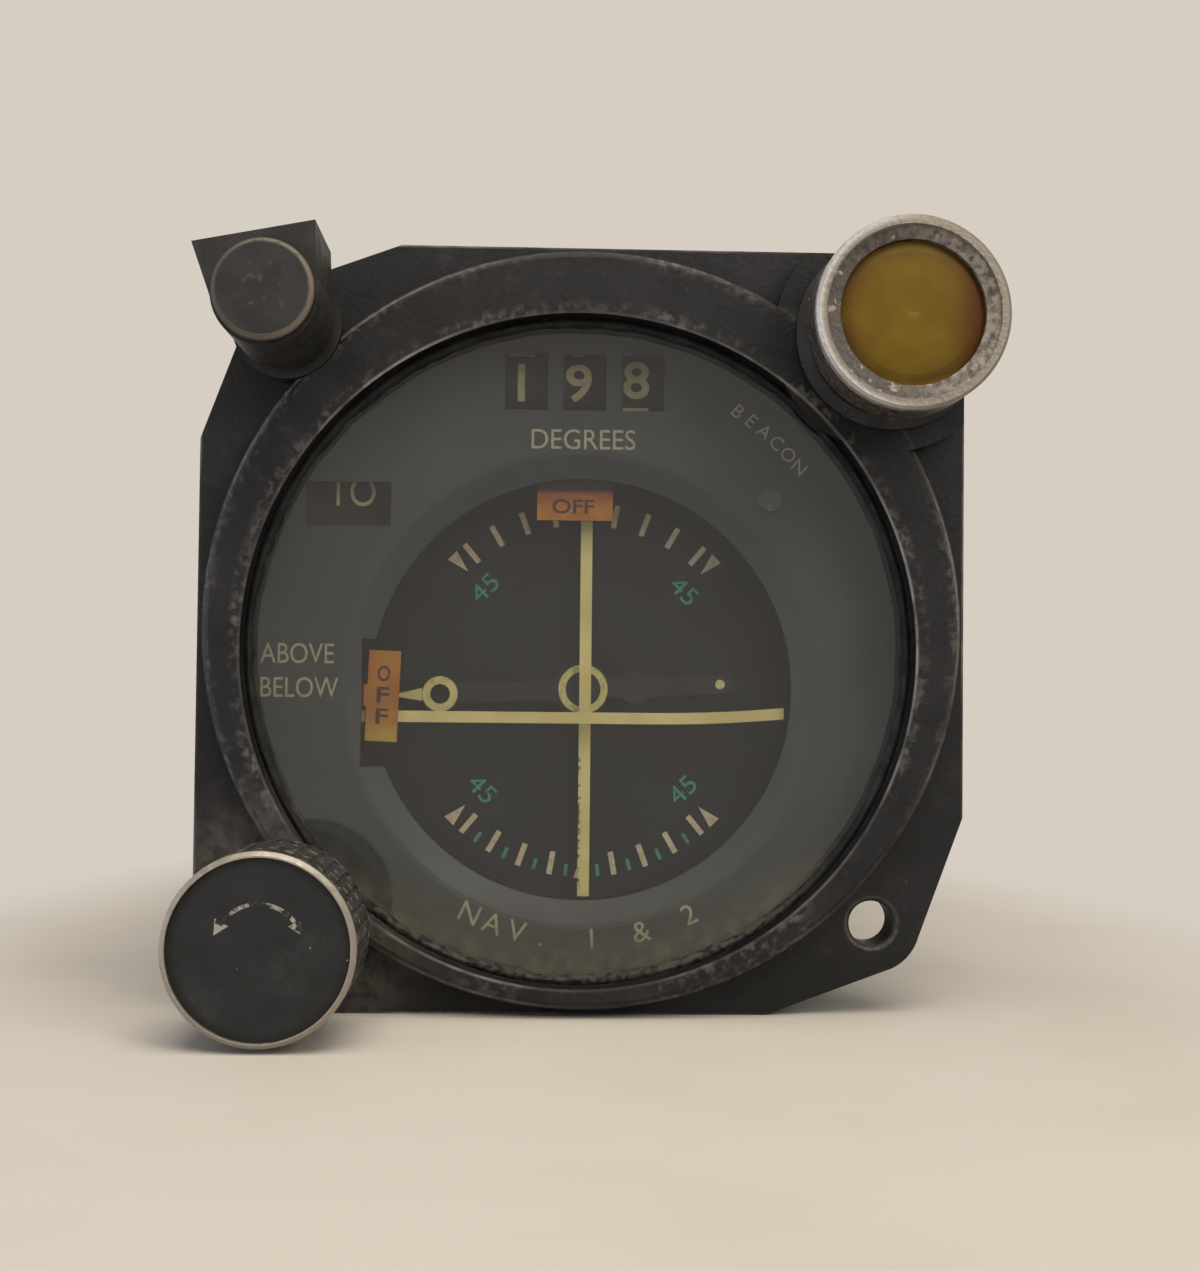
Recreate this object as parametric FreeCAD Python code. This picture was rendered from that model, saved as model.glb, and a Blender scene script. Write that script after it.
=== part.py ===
import FreeCAD, Part
import math
import os

# A round-faced navigation indicator for an aircraft panel, in millimetres.
# The dial faces -Y, up is +Z, and the origin is the middle of the flange's panel face.

# Flange and raised ring of the cast bezel
FLANGE_SIDE = 82.55
FLANGE_T = 5.0
HOLE_PITCH = 62.86
HOLE_D = 4.8
CORNER_R = 5.3
FACET_START = 20.0
SQUARE_CORNER_R = 2.0
RING_D = 80.6
RING_H = 3.5
RING_EDGE = 0.8

# Window, glass and the bead that seals it
WINDOW_X = -0.4
WINDOW_Z = -2.3
WINDOW_R = 35.8
LEDGE_W = 0.9
GLASS_T = 2.0
GLASS_DEPTH = 2.1
GLASS_GAP = 0.15
BEAD_W = 1.1
BEAD_H = 0.7

# Case behind the panel
CASE_D = 77.8
CASE_WALL = 0.8
CASE_LENGTH = 126.0
SPIGOT_WALL = 0.85
SPIGOT_L = 6.0
COLLAR_STEP = 0.55
COLLAR_EDGE = 0.4
SLIP = 0.05
COVER_T = 2.0
COVER_LIP = 3.0
COVER_LIP_WALL = 2.0

# Dial mask with its sloped lip, windows and flag notch
DIAL_X = 0.0
DIAL_Z = -6.5
MASK_Y = -1.4
MASK_T = 0.8
MASK_EDGE_GAP = 0.2
LIP_R = 23.2
LIP_W = 3.0
LIP_DEPTH = 1.3
LIP_T = 0.6
NOTCH_X = -24.1
NOTCH_H = 14.0
NOTCH_Z = -8.2
DIGIT_PITCH = 6.4
DIGIT_W = 4.7
DIGIT_H = 6.2
COUNTER_Z = 27.2
WORD_X = -25.7
WORD_Z = 13.5
WORD_W = 9.3
WORD_H = 4.8
MASK_SCREW_X = 20.4
MASK_SCREW_Z = 14.5
MASK_SCREW_R = 1.3

# Depths behind the mask, front to back
FLAG_Y = 1.0
FLAG_T = 0.2
SLOPE_BAR_Y = 1.6
COURSE_BAR_Y = 3.3
BAR_T = 0.3
POINTER_Y = 4.7
POINTER_T = 0.4
DIAL_Y = 5.5
DIAL_T = 0.8
DIAL_R = 23.9
PLATE_T = 1.4
CENTRE_PLATE_Y = 53.0
REAR_PLATE_Y = 100.0
PLATE_GAP = 0.8

# Bars, flags and vane as they stand with the power off
COURSE_BAR_X = 0.5
COURSE_BAR_W = 1.3
COURSE_BAR_LOW = -29.6
COURSE_ARM_Z = 18.1
SLOPE_BAR_Z = -9.7
SLOPE_BAR_W = 1.25
SLOPE_BAR_RIGHT = 22.6
SLOPE_BEND_X = 8.0
SLOPE_BEND_RISE = 0.7
SLOPE_ARM_X = -30.5
ARM_W = 0.8
ARM_T = 0.6
COURSE_AXIS_Y = 88.0
SLOPE_AXIS_Y = 86.5
TOP_FLAG_X0 = -5.1
TOP_FLAG_X1 = 3.3
TOP_FLAG_Z0 = 12.2
TOP_FLAG_Z1 = 19.0
TOP_FLAG_TAIL_Z = 17.2
TOP_FLAG_ARM_X = -18.5
TOP_FLAG_AXIS_Z = 18.1
SIDE_FLAG_X0 = -23.6
SIDE_FLAG_X1 = -20.1
SIDE_FLAG_Z0 = -12.4
SIDE_FLAG_Z1 = -2.4
SIDE_FLAG_TILT = 2.2
SIDE_FLAG_BRIDGE_W = 2.4
SIDE_FLAG_TAIL_W = 1.2
SIDE_FLAG_ARM_X = -25.5
SIDE_FLAG_ARM_Z = 4.9
FLAG_AXIS_Y = 45.0
VANE_W = 10.0
VANE_Z0 = 7.9
VANE_Z1 = 17.2
VANE_Y = 1.4
VANE_ARM_Z = 16.8
VANE_AXIS_Y = 32.0

# Moving coil meters
METER_WALL = 1.6
METER_GAP = 0.5
STAFF_R = 0.6
BIG_METER_R = 9.0
BIG_METER_L = 14.0
FLAG_METER_R = 5.0
FLAG_METER_L = 7.5
VANE_METER_R = 4.5
VANE_METER_L = 5.4
METER_PAD_W = 4.0
STAFF_STANDOFF = 1.4

# Course gearing
GEAR_Y = 8.6
GEAR_W = 1.8
GEAR_LEVEL_GAP = 2.6
PLATE_LIFT = 0.6
WHEEL_HOLE_R = 4.2
WHEEL_HOLES = 6
MODULE = 0.5
FINE_MODULE = 0.4
KNOB_TEETH = 20
IDLER_TEETH = 30
COURSE_TEETH = 81
TAKEOFF_PINION_TEETH = 12
TAKEOFF_TEETH = 40
TRANSFER_TEETH = 30
DRIVE_PINION_TEETH = 15
CONTRATE_TEETH = 24
UNITS_PINION_TEETH = 12
ARBOR_R = 0.8
ARBOR_END = 0.8
RUN = 0.05
SYNCHRO_R = 13.5
SYNCHRO_L = 34.0
SNOUT_R = 7.5
JOURNAL_R = 5.0
RESOLVER_R = 11.0
RESOLVER_L = 20.0
POINTER_SHAFT_R = 1.2
JOURNAL_L = 6.0
JOURNAL_SEAT = 0.3
POINTER_W = 2.2
POINTER_TAIL = 17.4
POINTER_TIP = 22.6
POINTER_TIP_W = 0.5
POINTER_NECK_W = 1.8
POINTER_EYE_X = 15.8
POINTER_EYE_R = 2.1
POINTER_HOLE_R = 1.07
POINTER_WEIGHT_X = 6.3
POINTER_WEIGHT_R = 1.9
POINTER_HUB_R = 3.1
POINTER_TURN = -2.5

# Three drum counter
DRUM_R = 8.4
DRUM_WALL = 1.0
DRUM_W = 5.6
DRUM_FRONT_Y = 1.1
DRUM_BORE_WALL = 2.0
COUNTER_SHAFT_R = 0.9
SIDE_PLATE_T = 0.9
SIDE_GAP = 0.4
PINION_FACE = 1.0
CONTRATE_RING = 1.2
CONTRATE_TOOTH = 0.75
CARRY_TEETH = 8
CARRY_R = 1.7
CARRY_W = 2.2
CARRY_SHAFT_R = 0.6
CARRY_RISE = 28.0
CARRY_GAP = 0.3
FRAME_REACH = 1.2
FRAME_FRONT = 5.4
FRAME_LOW = 6.2
TIE_BAR_H = 6.0
TIE_BAR_T = 1.0
FOOT_T = 0.9
FOOT_W = 2.2
RIGHT_FOOT_X = 17.5
LEFT_FOOT_X = -22.9
LEFT_FOOT_RISE = -1.6
LEFT_FOOT_W = 3.0

# Frame posts and screws
POST_R = 1.6
POST_INSET = 2.4
POST_ANGLES = (-37.9, -103.4, 20.9, 163.1)
POST_SCREW_REACH = 3.0
BOSS_INSET = 1.3
BOSS_ANGLES = (48.4, 133.4, -70.8)
BOSS_R = 1.8
SCREW_R = 0.9
SCREW_HEAD_R = 1.7
SCREW_HEAD_H = 0.9
SMALL_HEAD_R = 1.3

# Set knob in the lower left corner
KNOB_R = 9.3
KNOB_FRONT = 22.0
KNOB_SKIRT = 13.7
KNOB_TOP_T = 2.4
KNOB_WALL = 1.6
KNOB_HUB_R = 5.2
KNOB_FLUTES = 36
KNOB_DISC_R = 8.75
KNOB_DISC_SINK = 0.5
SHAFT_R = 3.0
BUSHING_R = 4.2
NUT_R = 5.6
NUT_T = 2.4
BUSHING_L = 7.2
KNOB_SEAT_H = 0.6
KNOB_SHIFT = 0.5
LOBE_R = 8.5
LOBE_DEPTH = 12.6
LOBE_COVER_T = 1.0

# Marker lamp in the upper right corner
LAMP_X = 32.4
LAMP_Z = 31.6
LAMP_FRONT = 16.0
LAMP_CAP_R = 9.85
LAMP_CAP_L = 6.6
LAMP_RIM_W = 1.0
LAMP_LENS_R = 7.35
LAMP_LENS_T = 2.2
LAMP_BODY_R = 9.0
LAMP_FOOT_R = 10.2
LAMP_FOOT_H = 1.6
LAMP_FLOOR_T = 1.4
LAMP_BOSS_R = 12.4
LAMP_BOSS_INSET = 0.9
LAMP_BORE_R = 6.6
BULB_R = 2.6
BULB_BASE_R = 3.2

# Post light in the upper left corner
POST_LIGHT_FRONT = 20.0
HOOD_FLAT = 12.2
HOOD_R = 5.3
HOOD_RISE = 6.1
HOOD_L = 13.0
HOOD_TILT = 11.0
LIGHT_CAP_R = 5.0
LIGHT_SHIFT = 0.4
LIGHT_CAP_T = 1.6
LIGHT_BASE_R = 5.8
LIGHT_SHANK_R = 2.6
LIGHT_STUD_R = 2.05
LIGHT_STUD_EDGE = 0.5
LIGHT_STUD_REACH = 9.0
LIGHT_BULB_R = 2.6

# Rear connector
SHELL_R = 15.9
SHELL_WALL = 2.3
SHELL_L = 14.5
CONNECTOR_Z = -6.0
CONNECTOR_BASE = 38.0
CONNECTOR_BASE_T = 2.4
INSERT_L = 3.4
PIN_R = 0.8
PIN_L = 4.4


def ring_of_places(r, angles):
    """Places on a circle about the case axis, counted in degrees from +X towards +Z."""
    return [(r * math.cos(math.radians(a)), r * math.sin(math.radians(a))) for a in angles]


# Places worked out from the sizes above
HALF = FLANGE_SIDE / 2
HOLE = HOLE_PITCH / 2
FRONT_Y = -FLANGE_T
KNOB_SEAT_Y = FRONT_Y - KNOB_SEAT_H
RING_Y = FRONT_Y - RING_H
GLASS_Y = RING_Y + GLASS_DEPTH
GLASS_BACK_Y = GLASS_Y + GLASS_T
CASE_R = CASE_D / 2
BORE_R = CASE_R - CASE_WALL - SLIP - SPIGOT_WALL
COLLAR_R = CASE_R + COLLAR_STEP
COLLAR_L = LOBE_DEPTH + LOBE_COVER_T + COLLAR_EDGE
MASK_BACK_Y = MASK_Y + MASK_T
PLATE_Y = DIAL_Y + DIAL_T
PLATE_BACK_Y = PLATE_Y + PLATE_T
PLATE_R = BORE_R - PLATE_GAP
FINE_Y = GEAR_Y + GEAR_W + GEAR_LEVEL_GAP
MID_PLATE_Y = FINE_Y + GEAR_W + PLATE_LIFT
KNOB_X = KNOB_SHIFT - HOLE
KNOB_Z = -HOLE
LIGHT_X = -HOLE - LIGHT_SHIFT
LIGHT_Z = HOLE + LIGHT_SHIFT
COURSE_R = MODULE * COURSE_TEETH / 2
COUNTER_Y = DRUM_FRONT_Y + DRUM_R
SIDE_X = DIGIT_PITCH + DRUM_W / 2 + SIDE_GAP
UNITS_PINION_X = SIDE_X + SIDE_PLATE_T + SIDE_GAP
CONTRATE_R = FINE_MODULE * CONTRATE_TEETH / 2
DRIVE_X = UNITS_PINION_X + PINION_FACE / 2 + CONTRATE_R
POST_END_Y = CASE_LENGTH - COVER_LIP
POSTS = ring_of_places(PLATE_R - POST_INSET, POST_ANGLES)
BOSSES = ring_of_places(BORE_R - BOSS_INSET, BOSS_ANGLES)


def cyl(r, y0, y1, x=0.0, z=0.0):
    return Part.makeCylinder(r, y1 - y0, FreeCAD.Vector(x, y0, z), FreeCAD.Vector(0, 1, 0))


def cyl_x(r, x0, x1, y, z):
    return Part.makeCylinder(r, x1 - x0, FreeCAD.Vector(x0, y, z), FreeCAD.Vector(1, 0, 0))


def cyl_z(r, z0, z1, x, y):
    return Part.makeCylinder(r, z1 - z0, FreeCAD.Vector(x, y, z0))


def box(x0, x1, y0, y1, z0, z1):
    return Part.makeBox(x1 - x0, y1 - y0, z1 - z0, FreeCAD.Vector(x0, y0, z0))


def prism(points, y0, y1):
    """Extrude an outline of x, z points from y0 to y1."""
    wire = Part.makePolygon([FreeCAD.Vector(x, y0, z) for x, z in points], True)
    return Part.Face(wire).extrude(FreeCAD.Vector(0, y1 - y0, 0))


def turned(profile, x=0.0, z=0.0):
    """Turn a closed outline of radius, y points about an axis along Y."""
    wire = Part.makePolygon([FreeCAD.Vector(x + r, y, z) for r, y in profile], True)
    return Part.Face(wire).revolve(FreeCAD.Vector(x, 0, z), FreeCAD.Vector(0, 1, 0), 360)


def meeting(ax, az, ra, bx, bz, rb, side):
    """Point at ra from a and rb from b, on the given side of the line from a to b."""
    dx = bx - ax
    dz = bz - az
    d = math.hypot(dx, dz)
    along = (ra * ra - rb * rb + d * d) / (2 * d)
    off = side * math.sqrt(max(ra * ra - along * along, 0.0))
    return ax + (along * dx - off * dz) / d, az + (along * dz + off * dx) / d


def gear(teeth, module, y0, y1, x, z, bore, phase):
    """Spur gear with straight flanked teeth, one of them at the phase angle in degrees."""
    pitch_r = module * teeth / 2
    tip = pitch_r + 0.8 * module
    root = pitch_r - 1.15 * module
    step = 2 * math.pi / teeth
    points = []
    for i in range(teeth):
        middle = math.radians(phase) + i * step
        for r, share in ((root, -0.30), (tip, -0.115), (tip, 0.115), (root, 0.30)):
            a = middle + share * step
            points.append((x + r * math.cos(a), z + r * math.sin(a)))
    return prism(points, y0, y1).cut(cyl(bore, y0, y1, x, z))


def mesh_phase(x1, z1, teeth1, phase1, x2, z2, teeth2):
    """Phase of a second gear whose gap meets a tooth of the first."""
    line = math.degrees(math.atan2(z2 - z1, x2 - x1))
    return line + 180 - (phase1 - line) * teeth1 / teeth2 + 180 / teeth2


# Gear centres, each found from the pitch radii that have to meet
KNOB_GEAR_R = MODULE * KNOB_TEETH / 2
IDLER_R = MODULE * IDLER_TEETH / 2
TAKEOFF_PINION_R = MODULE * TAKEOFF_PINION_TEETH / 2
TAKEOFF_R = FINE_MODULE * TAKEOFF_TEETH / 2
TRANSFER_R = FINE_MODULE * TRANSFER_TEETH / 2
DRIVE_R = FINE_MODULE * DRIVE_PINION_TEETH / 2
TRANSFER_ANGLE = math.radians(-47)
IDLER_X, IDLER_Z = meeting(KNOB_X, KNOB_Z, KNOB_GEAR_R + IDLER_R,
                           DIAL_X, DIAL_Z, COURSE_R + IDLER_R, 1)
TRANSFER_X = DRIVE_X + (DRIVE_R + TRANSFER_R) * math.cos(TRANSFER_ANGLE)
TRANSFER_Z = COUNTER_Z + (DRIVE_R + TRANSFER_R) * math.sin(TRANSFER_ANGLE)
TAKEOFF_X, TAKEOFF_Z = meeting(DIAL_X, DIAL_Z, COURSE_R + TAKEOFF_PINION_R,
                               TRANSFER_X, TRANSFER_Z, TRANSFER_R + TAKEOFF_R, -1)
IDLER_PHASE = mesh_phase(KNOB_X, KNOB_Z, KNOB_TEETH, 0, IDLER_X, IDLER_Z, IDLER_TEETH)
COURSE_PHASE = mesh_phase(IDLER_X, IDLER_Z, IDLER_TEETH, IDLER_PHASE,
                          DIAL_X, DIAL_Z, COURSE_TEETH)
TAKEOFF_PHASE = mesh_phase(DIAL_X, DIAL_Z, COURSE_TEETH, COURSE_PHASE,
                           TAKEOFF_X, TAKEOFF_Z, TAKEOFF_PINION_TEETH)
TRANSFER_PHASE = mesh_phase(TAKEOFF_X, TAKEOFF_Z, TAKEOFF_TEETH, 0,
                            TRANSFER_X, TRANSFER_Z, TRANSFER_TEETH)
DRIVE_PHASE = mesh_phase(TRANSFER_X, TRANSFER_Z, TRANSFER_TEETH, TRANSFER_PHASE,
                         DRIVE_X, COUNTER_Z, DRIVE_PINION_TEETH)


def rounded_square(half, r, y0, y1):
    body = box(-half, half, y0, y1, -half, half)
    edges = [e for e in body.Edges if abs(e.Vertexes[0].X) + abs(e.Vertexes[0].Z) > half
             and abs(e.BoundBox.YLength - (y1 - y0)) < 1e-6]
    return body.makeFillet(r, edges)


def corner_cut(sx, sz):
    """What the foundry leaves off a chamfered corner, outside two facets and a round end."""
    far = HALF + 5
    tip_a = (HOLE + CORNER_R * math.sin(math.radians(15)), HOLE + CORNER_R * math.cos(math.radians(15)))
    points = [(FACET_START, HALF), (tip_a[0], tip_a[1]), (HOLE, HOLE), (tip_a[1], tip_a[0]),
              (HALF, FACET_START), (HALF + 1, FACET_START), (far, far), (FACET_START, HALF + 1)]
    block = prism([(sx * x, sz * z) for x, z in points], FRONT_Y - 1, 1)
    return block.cut(cyl(CORNER_R, FRONT_Y - 1, 1, sx * HOLE, sz * HOLE))


def lobe_outline(grow, y0, y1):
    """Round lobe over the knob gear with straight sides that run into the case."""
    side = (LOBE_R + grow) / math.sqrt(2)
    web = prism([(KNOB_X - side, KNOB_Z + side), (KNOB_X + side, KNOB_Z - side),
                 (side - 16, -side - 16), (-side - 16, side - 16)], y0, y1)
    return cyl(LOBE_R + grow, y0, y1, KNOB_X, KNOB_Z).fuse(web)


def bezel_casting():
    plate = rounded_square(HALF, SQUARE_CORNER_R, FRONT_Y, 0)
    plate = plate.cut(corner_cut(-1, 1)).cut(corner_cut(1, -1))
    r = RING_D / 2
    ring = turned([(0, FRONT_Y), (r, FRONT_Y), (r, RING_Y + RING_EDGE),
                   (r - RING_EDGE, RING_Y), (0, RING_Y)])
    collar = turned([(0, 0), (COLLAR_R, 0), (COLLAR_R, COLLAR_L - COLLAR_EDGE),
                     (COLLAR_R - COLLAR_EDGE, COLLAR_L), (0, COLLAR_L)])
    spigot = cyl(BORE_R + SPIGOT_WALL, COLLAR_L, COLLAR_L + SPIGOT_L)
    body = plate.fuse([ring, collar, spigot, lobe_outline(0, 0, LOBE_DEPTH)])
    inside = BORE_R + SPIGOT_WALL / 2
    body = body.cut(cyl(BORE_R, 0, COLLAR_L + SPIGOT_L))
    body = body.cut(cyl(WINDOW_R, RING_Y - 1, GLASS_BACK_Y, WINDOW_X, WINDOW_Z))
    body = body.cut(cyl(WINDOW_R - LEDGE_W, GLASS_BACK_Y - 1, MASK_Y + 1, WINDOW_X, WINDOW_Z))
    body = body.cut(cyl(WINDOW_R, MASK_Y, 1, WINDOW_X, WINDOW_Z))
    for x, z in BOSSES:
        body = body.fuse(cyl(BOSS_R, 0, PLATE_Y, x, z).common(cyl(inside, 0, PLATE_Y)))
        body = body.cut(cyl(SCREW_R, 0, PLATE_Y, x, z))
    pocket = cyl(KNOB_GEAR_R + MODULE + RUN + 0.4, GEAR_Y - 0.5, LOBE_DEPTH, KNOB_X, KNOB_Z)
    idler_room = cyl(IDLER_R + MODULE + RUN + 0.4, GEAR_Y - 0.5, LOBE_DEPTH, IDLER_X, IDLER_Z)
    body = body.cut([pocket, idler_room])
    body = body.fuse(cyl(NUT_R + 0.4, KNOB_SEAT_Y, FRONT_Y + 1, KNOB_X, KNOB_Z))
    body = body.cut([cyl(BUSHING_R, RING_Y, GEAR_Y, KNOB_X, KNOB_Z),
                     cyl(NUT_R + 0.3, RING_Y, KNOB_SEAT_Y, KNOB_X, KNOB_Z),
                     cyl(LIGHT_BASE_R + 0.15, RING_Y, FRONT_Y, LIGHT_X, LIGHT_Z)])
    lamp_boss = cyl(LAMP_BOSS_R, RING_Y, FRONT_Y, LAMP_X, LAMP_Z).common(
        rounded_square(HALF - LAMP_BOSS_INSET, SQUARE_CORNER_R, RING_Y, FRONT_Y))
    body = body.fuse(lamp_boss.cut(cyl(WINDOW_R, GLASS_Y - BEAD_H - 0.1, FRONT_Y, WINDOW_X, WINDOW_Z)))
    for x, z, d in ((HOLE, -HOLE, HOLE_D), (LIGHT_X, LIGHT_Z, 2 * LIGHT_SHANK_R + 0.2)):
        body = body.cut(cyl(d / 2, FRONT_Y - 1, 1, x, z))
    bevel = turned([(0, FRONT_Y - 0.1), (HOLE_D / 2 + 0.6, FRONT_Y - 0.1), (0, FRONT_Y + HOLE_D / 2 + 0.5)],
                   HOLE, -HOLE)
    return body.cut(bevel)


def case_can():
    return cyl(CASE_R, COLLAR_L, CASE_LENGTH).cut(cyl(CASE_R - CASE_WALL, COLLAR_L, CASE_LENGTH))


def lobe_cover():
    y0 = LOBE_DEPTH
    y1 = LOBE_DEPTH + LOBE_COVER_T
    plate = lobe_outline(0, y0, y1).cut(cyl(COLLAR_R + SLIP, y0, y1))
    return plate.cut(cyl(SHAFT_R - 1.4, y0, y1, KNOB_X, KNOB_Z))


def rear_cover():
    inner = CASE_R - CASE_WALL - SLIP
    plate = turned([(0, CASE_LENGTH), (CASE_R, CASE_LENGTH), (CASE_R, CASE_LENGTH + COVER_T - 0.6),
                    (CASE_R - 0.6, CASE_LENGTH + COVER_T), (0, CASE_LENGTH + COVER_T)])
    lip = cyl(inner, POST_END_Y, CASE_LENGTH).cut(
        cyl(inner - COVER_LIP_WALL, POST_END_Y, CASE_LENGTH))
    body = plate.fuse(lip)
    for x, z in POSTS:
        pad = cyl(POST_R + 0.8, POST_END_Y, CASE_LENGTH, x, z)
        body = body.fuse(pad)
        body = body.cut(cyl(SCREW_R, POST_END_Y, CASE_LENGTH + COVER_T, x, z))
    return body.cut(cyl(SHELL_R - SHELL_WALL, CASE_LENGTH, CASE_LENGTH + COVER_T, 0, CONNECTOR_Z))


def screw(x, z, seat, reach, out, head_r=SCREW_HEAD_R, shank_r=SCREW_R - RUN):
    """Slotted screw whose head stands out from its seat, out is -1 for forward."""
    head = seat + out * SCREW_HEAD_H
    body = cyl(head_r, min(seat, head), max(seat, head), x, z)
    shank = seat - out * reach
    body = body.fuse(cyl(shank_r, min(seat, shank), max(seat, shank), x, z))
    slot = head - out * SCREW_HEAD_H / 2
    y0 = min(head, slot)
    y1 = max(head, slot)
    return body.cut(box(x - head_r, x + head_r, y0, y1, z - 0.2, z + 0.2))


def window_glass():
    return cyl(WINDOW_R - GLASS_GAP, GLASS_Y, GLASS_BACK_Y, WINDOW_X, WINDOW_Z)


def sealing_bead():
    r = WINDOW_R - GLASS_GAP
    return turned([(r - BEAD_W, GLASS_Y), (r, GLASS_Y), (r, GLASS_Y - BEAD_H),
                   (r - BEAD_W * 0.35, GLASS_Y - BEAD_H * 0.8)], WINDOW_X, WINDOW_Z)


def dial_mask():
    r = WINDOW_R - MASK_EDGE_GAP
    plate = cyl(r, MASK_Y, MASK_BACK_Y, WINDOW_X, WINDOW_Z)
    outer = LIP_R + LIP_W
    plate = plate.cut(cyl(outer + 0.2, MASK_Y - 1, 1, DIAL_X, DIAL_Z))
    lip = turned([(outer + 0.8, MASK_Y), (outer, MASK_Y), (outer - 0.5, MASK_Y + 0.08),
                  (outer - 0.9, MASK_Y + 0.25), (LIP_R, MASK_Y + LIP_DEPTH),
                  (LIP_R, MASK_Y + LIP_DEPTH + LIP_T), (outer + 0.8, MASK_BACK_Y)], DIAL_X, DIAL_Z)
    body = plate.fuse(lip)
    y0 = MASK_Y - 1
    y1 = MASK_Y + LIP_DEPTH + LIP_T + 1
    cuts = [box(NOTCH_X, 0, y0, y1, NOTCH_Z - NOTCH_H / 2, NOTCH_Z + NOTCH_H / 2)]
    for i in (-1, 0, 1):
        x = i * DIGIT_PITCH
        cuts.append(box(x - DIGIT_W / 2, x + DIGIT_W / 2, y0, y1,
                        COUNTER_Z - DIGIT_H / 2, COUNTER_Z + DIGIT_H / 2))
    cuts.append(box(WORD_X - WORD_W / 2, WORD_X + WORD_W / 2, y0, y1,
                    WORD_Z - WORD_H / 2, WORD_Z + WORD_H / 2))
    cuts.append(cyl(SCREW_R, y0, y1, MASK_SCREW_X, MASK_SCREW_Z))
    return body.cut(cuts)


def mask_post():
    post = cyl(POST_R, MASK_BACK_Y, PLATE_Y, MASK_SCREW_X, MASK_SCREW_Z)
    return post.cut(cyl(SCREW_R, MASK_BACK_Y, MASK_BACK_Y + 3, MASK_SCREW_X, MASK_SCREW_Z))


def mask_screw():
    body = cyl(MASK_SCREW_R, MASK_Y - 0.4, MASK_Y, MASK_SCREW_X, MASK_SCREW_Z)
    shank = cyl(SCREW_R - RUN, MASK_Y, MASK_BACK_Y + 2.6, MASK_SCREW_X, MASK_SCREW_Z)
    slot = box(MASK_SCREW_X - 2, MASK_SCREW_X + 2, MASK_Y - 0.4, MASK_Y - 0.2,
               MASK_SCREW_Z - 0.15, MASK_SCREW_Z + 0.15)
    return body.fuse(shank).cut(slot)


def centre_dial():
    return cyl(DIAL_R, DIAL_Y, PLATE_Y, DIAL_X, DIAL_Z).cut(
        cyl(POINTER_SHAFT_R + 0.4, DIAL_Y, PLATE_Y, DIAL_X, DIAL_Z))


def frame_plate(y0, windows):
    """Round mechanism plate with openings for the arms that pass it."""
    plate = cyl(PLATE_R, y0, y0 + PLATE_T)
    for x0, x1, z0, z1 in windows:
        plate = plate.cut(box(x0, x1, y0, y0 + PLATE_T, z0, z1))
    return plate


SLOPE_WINDOW = (-PLATE_R - 1, SIDE_FLAG_ARM_X + 1.1, SLOPE_BAR_Z - 9.3, SIDE_FLAG_ARM_Z + 1.4)
VANE_WINDOW = (-PLATE_R - 1, WORD_X + 2.3, VANE_ARM_Z - 4.3, VANE_ARM_Z + 4.7)
TOP_NOTCH = (TOP_FLAG_ARM_X - 2, 14, COURSE_ARM_Z - 1.3, PLATE_R + 1)
COURSE_WINDOW = (COURSE_BAR_X - 8, COURSE_BAR_X + 8, COURSE_ARM_Z - 1.3, COURSE_ARM_Z + 1.5)
FRONT_WINDOWS = (SLOPE_WINDOW, VANE_WINDOW, TOP_NOTCH)


def post_holes(r, y0):
    return [cyl(r, y0, y0 + PLATE_T, x, z) for x, z in POSTS]


def arbor_holes(y0, places):
    return [cyl(ARBOR_R + RUN, y0, y0 + PLATE_T, x, z) for x, z in places]


ARBORS = ((IDLER_X, IDLER_Z), (TAKEOFF_X, TAKEOFF_Z), (TRANSFER_X, TRANSFER_Z), (DRIVE_X, COUNTER_Z))


def front_plate():
    holes = post_holes(SCREW_R, PLATE_Y) + arbor_holes(PLATE_Y, ARBORS)
    holes.append(cyl(POINTER_SHAFT_R + RUN, PLATE_Y, PLATE_BACK_Y, DIAL_X, DIAL_Z))
    holes += [cyl(SCREW_R, PLATE_Y, PLATE_BACK_Y, x, z) for x, z in BOSSES]
    return frame_plate(PLATE_Y, FRONT_WINDOWS).cut(holes)


def mid_plate():
    holes = post_holes(POST_R + RUN, MID_PLATE_Y) + arbor_holes(MID_PLATE_Y, ARBORS)
    holes.append(cyl(SNOUT_R + RUN, MID_PLATE_Y, MID_PLATE_Y + PLATE_T, DIAL_X, DIAL_Z))
    return frame_plate(MID_PLATE_Y, FRONT_WINDOWS).cut(holes)


def centre_plate():
    holes = post_holes(POST_R + RUN, CENTRE_PLATE_Y)
    holes.append(cyl(JOURNAL_R + RUN, CENTRE_PLATE_Y, CENTRE_PLATE_Y + PLATE_T, DIAL_X, DIAL_Z))
    return frame_plate(CENTRE_PLATE_Y, (SLOPE_WINDOW, COURSE_WINDOW)).cut(holes)


def rear_plate():
    return frame_plate(REAR_PLATE_Y, ()).cut(post_holes(POST_R + RUN, REAR_PLATE_Y))


def frame_posts():
    posts = []
    for x, z in POSTS:
        post = cyl(POST_R, PLATE_BACK_Y, POST_END_Y, x, z)
        post = post.cut(cyl(SCREW_R, PLATE_BACK_Y, PLATE_BACK_Y + 5, x, z))
        posts.append(post.cut(cyl(SCREW_R, POST_END_Y - 6, POST_END_Y, x, z)))
    return Part.makeCompound(posts)


def arbor(x, z, y0=PLATE_Y + 0.3, y1=MID_PLATE_Y + PLATE_T + ARBOR_END):
    return cyl(ARBOR_R, y0, y1, x, z)


def knob_gear():
    return gear(KNOB_TEETH, MODULE, GEAR_Y, GEAR_Y + GEAR_W, KNOB_X, KNOB_Z, SHAFT_R - 1.6, 0)


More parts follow.
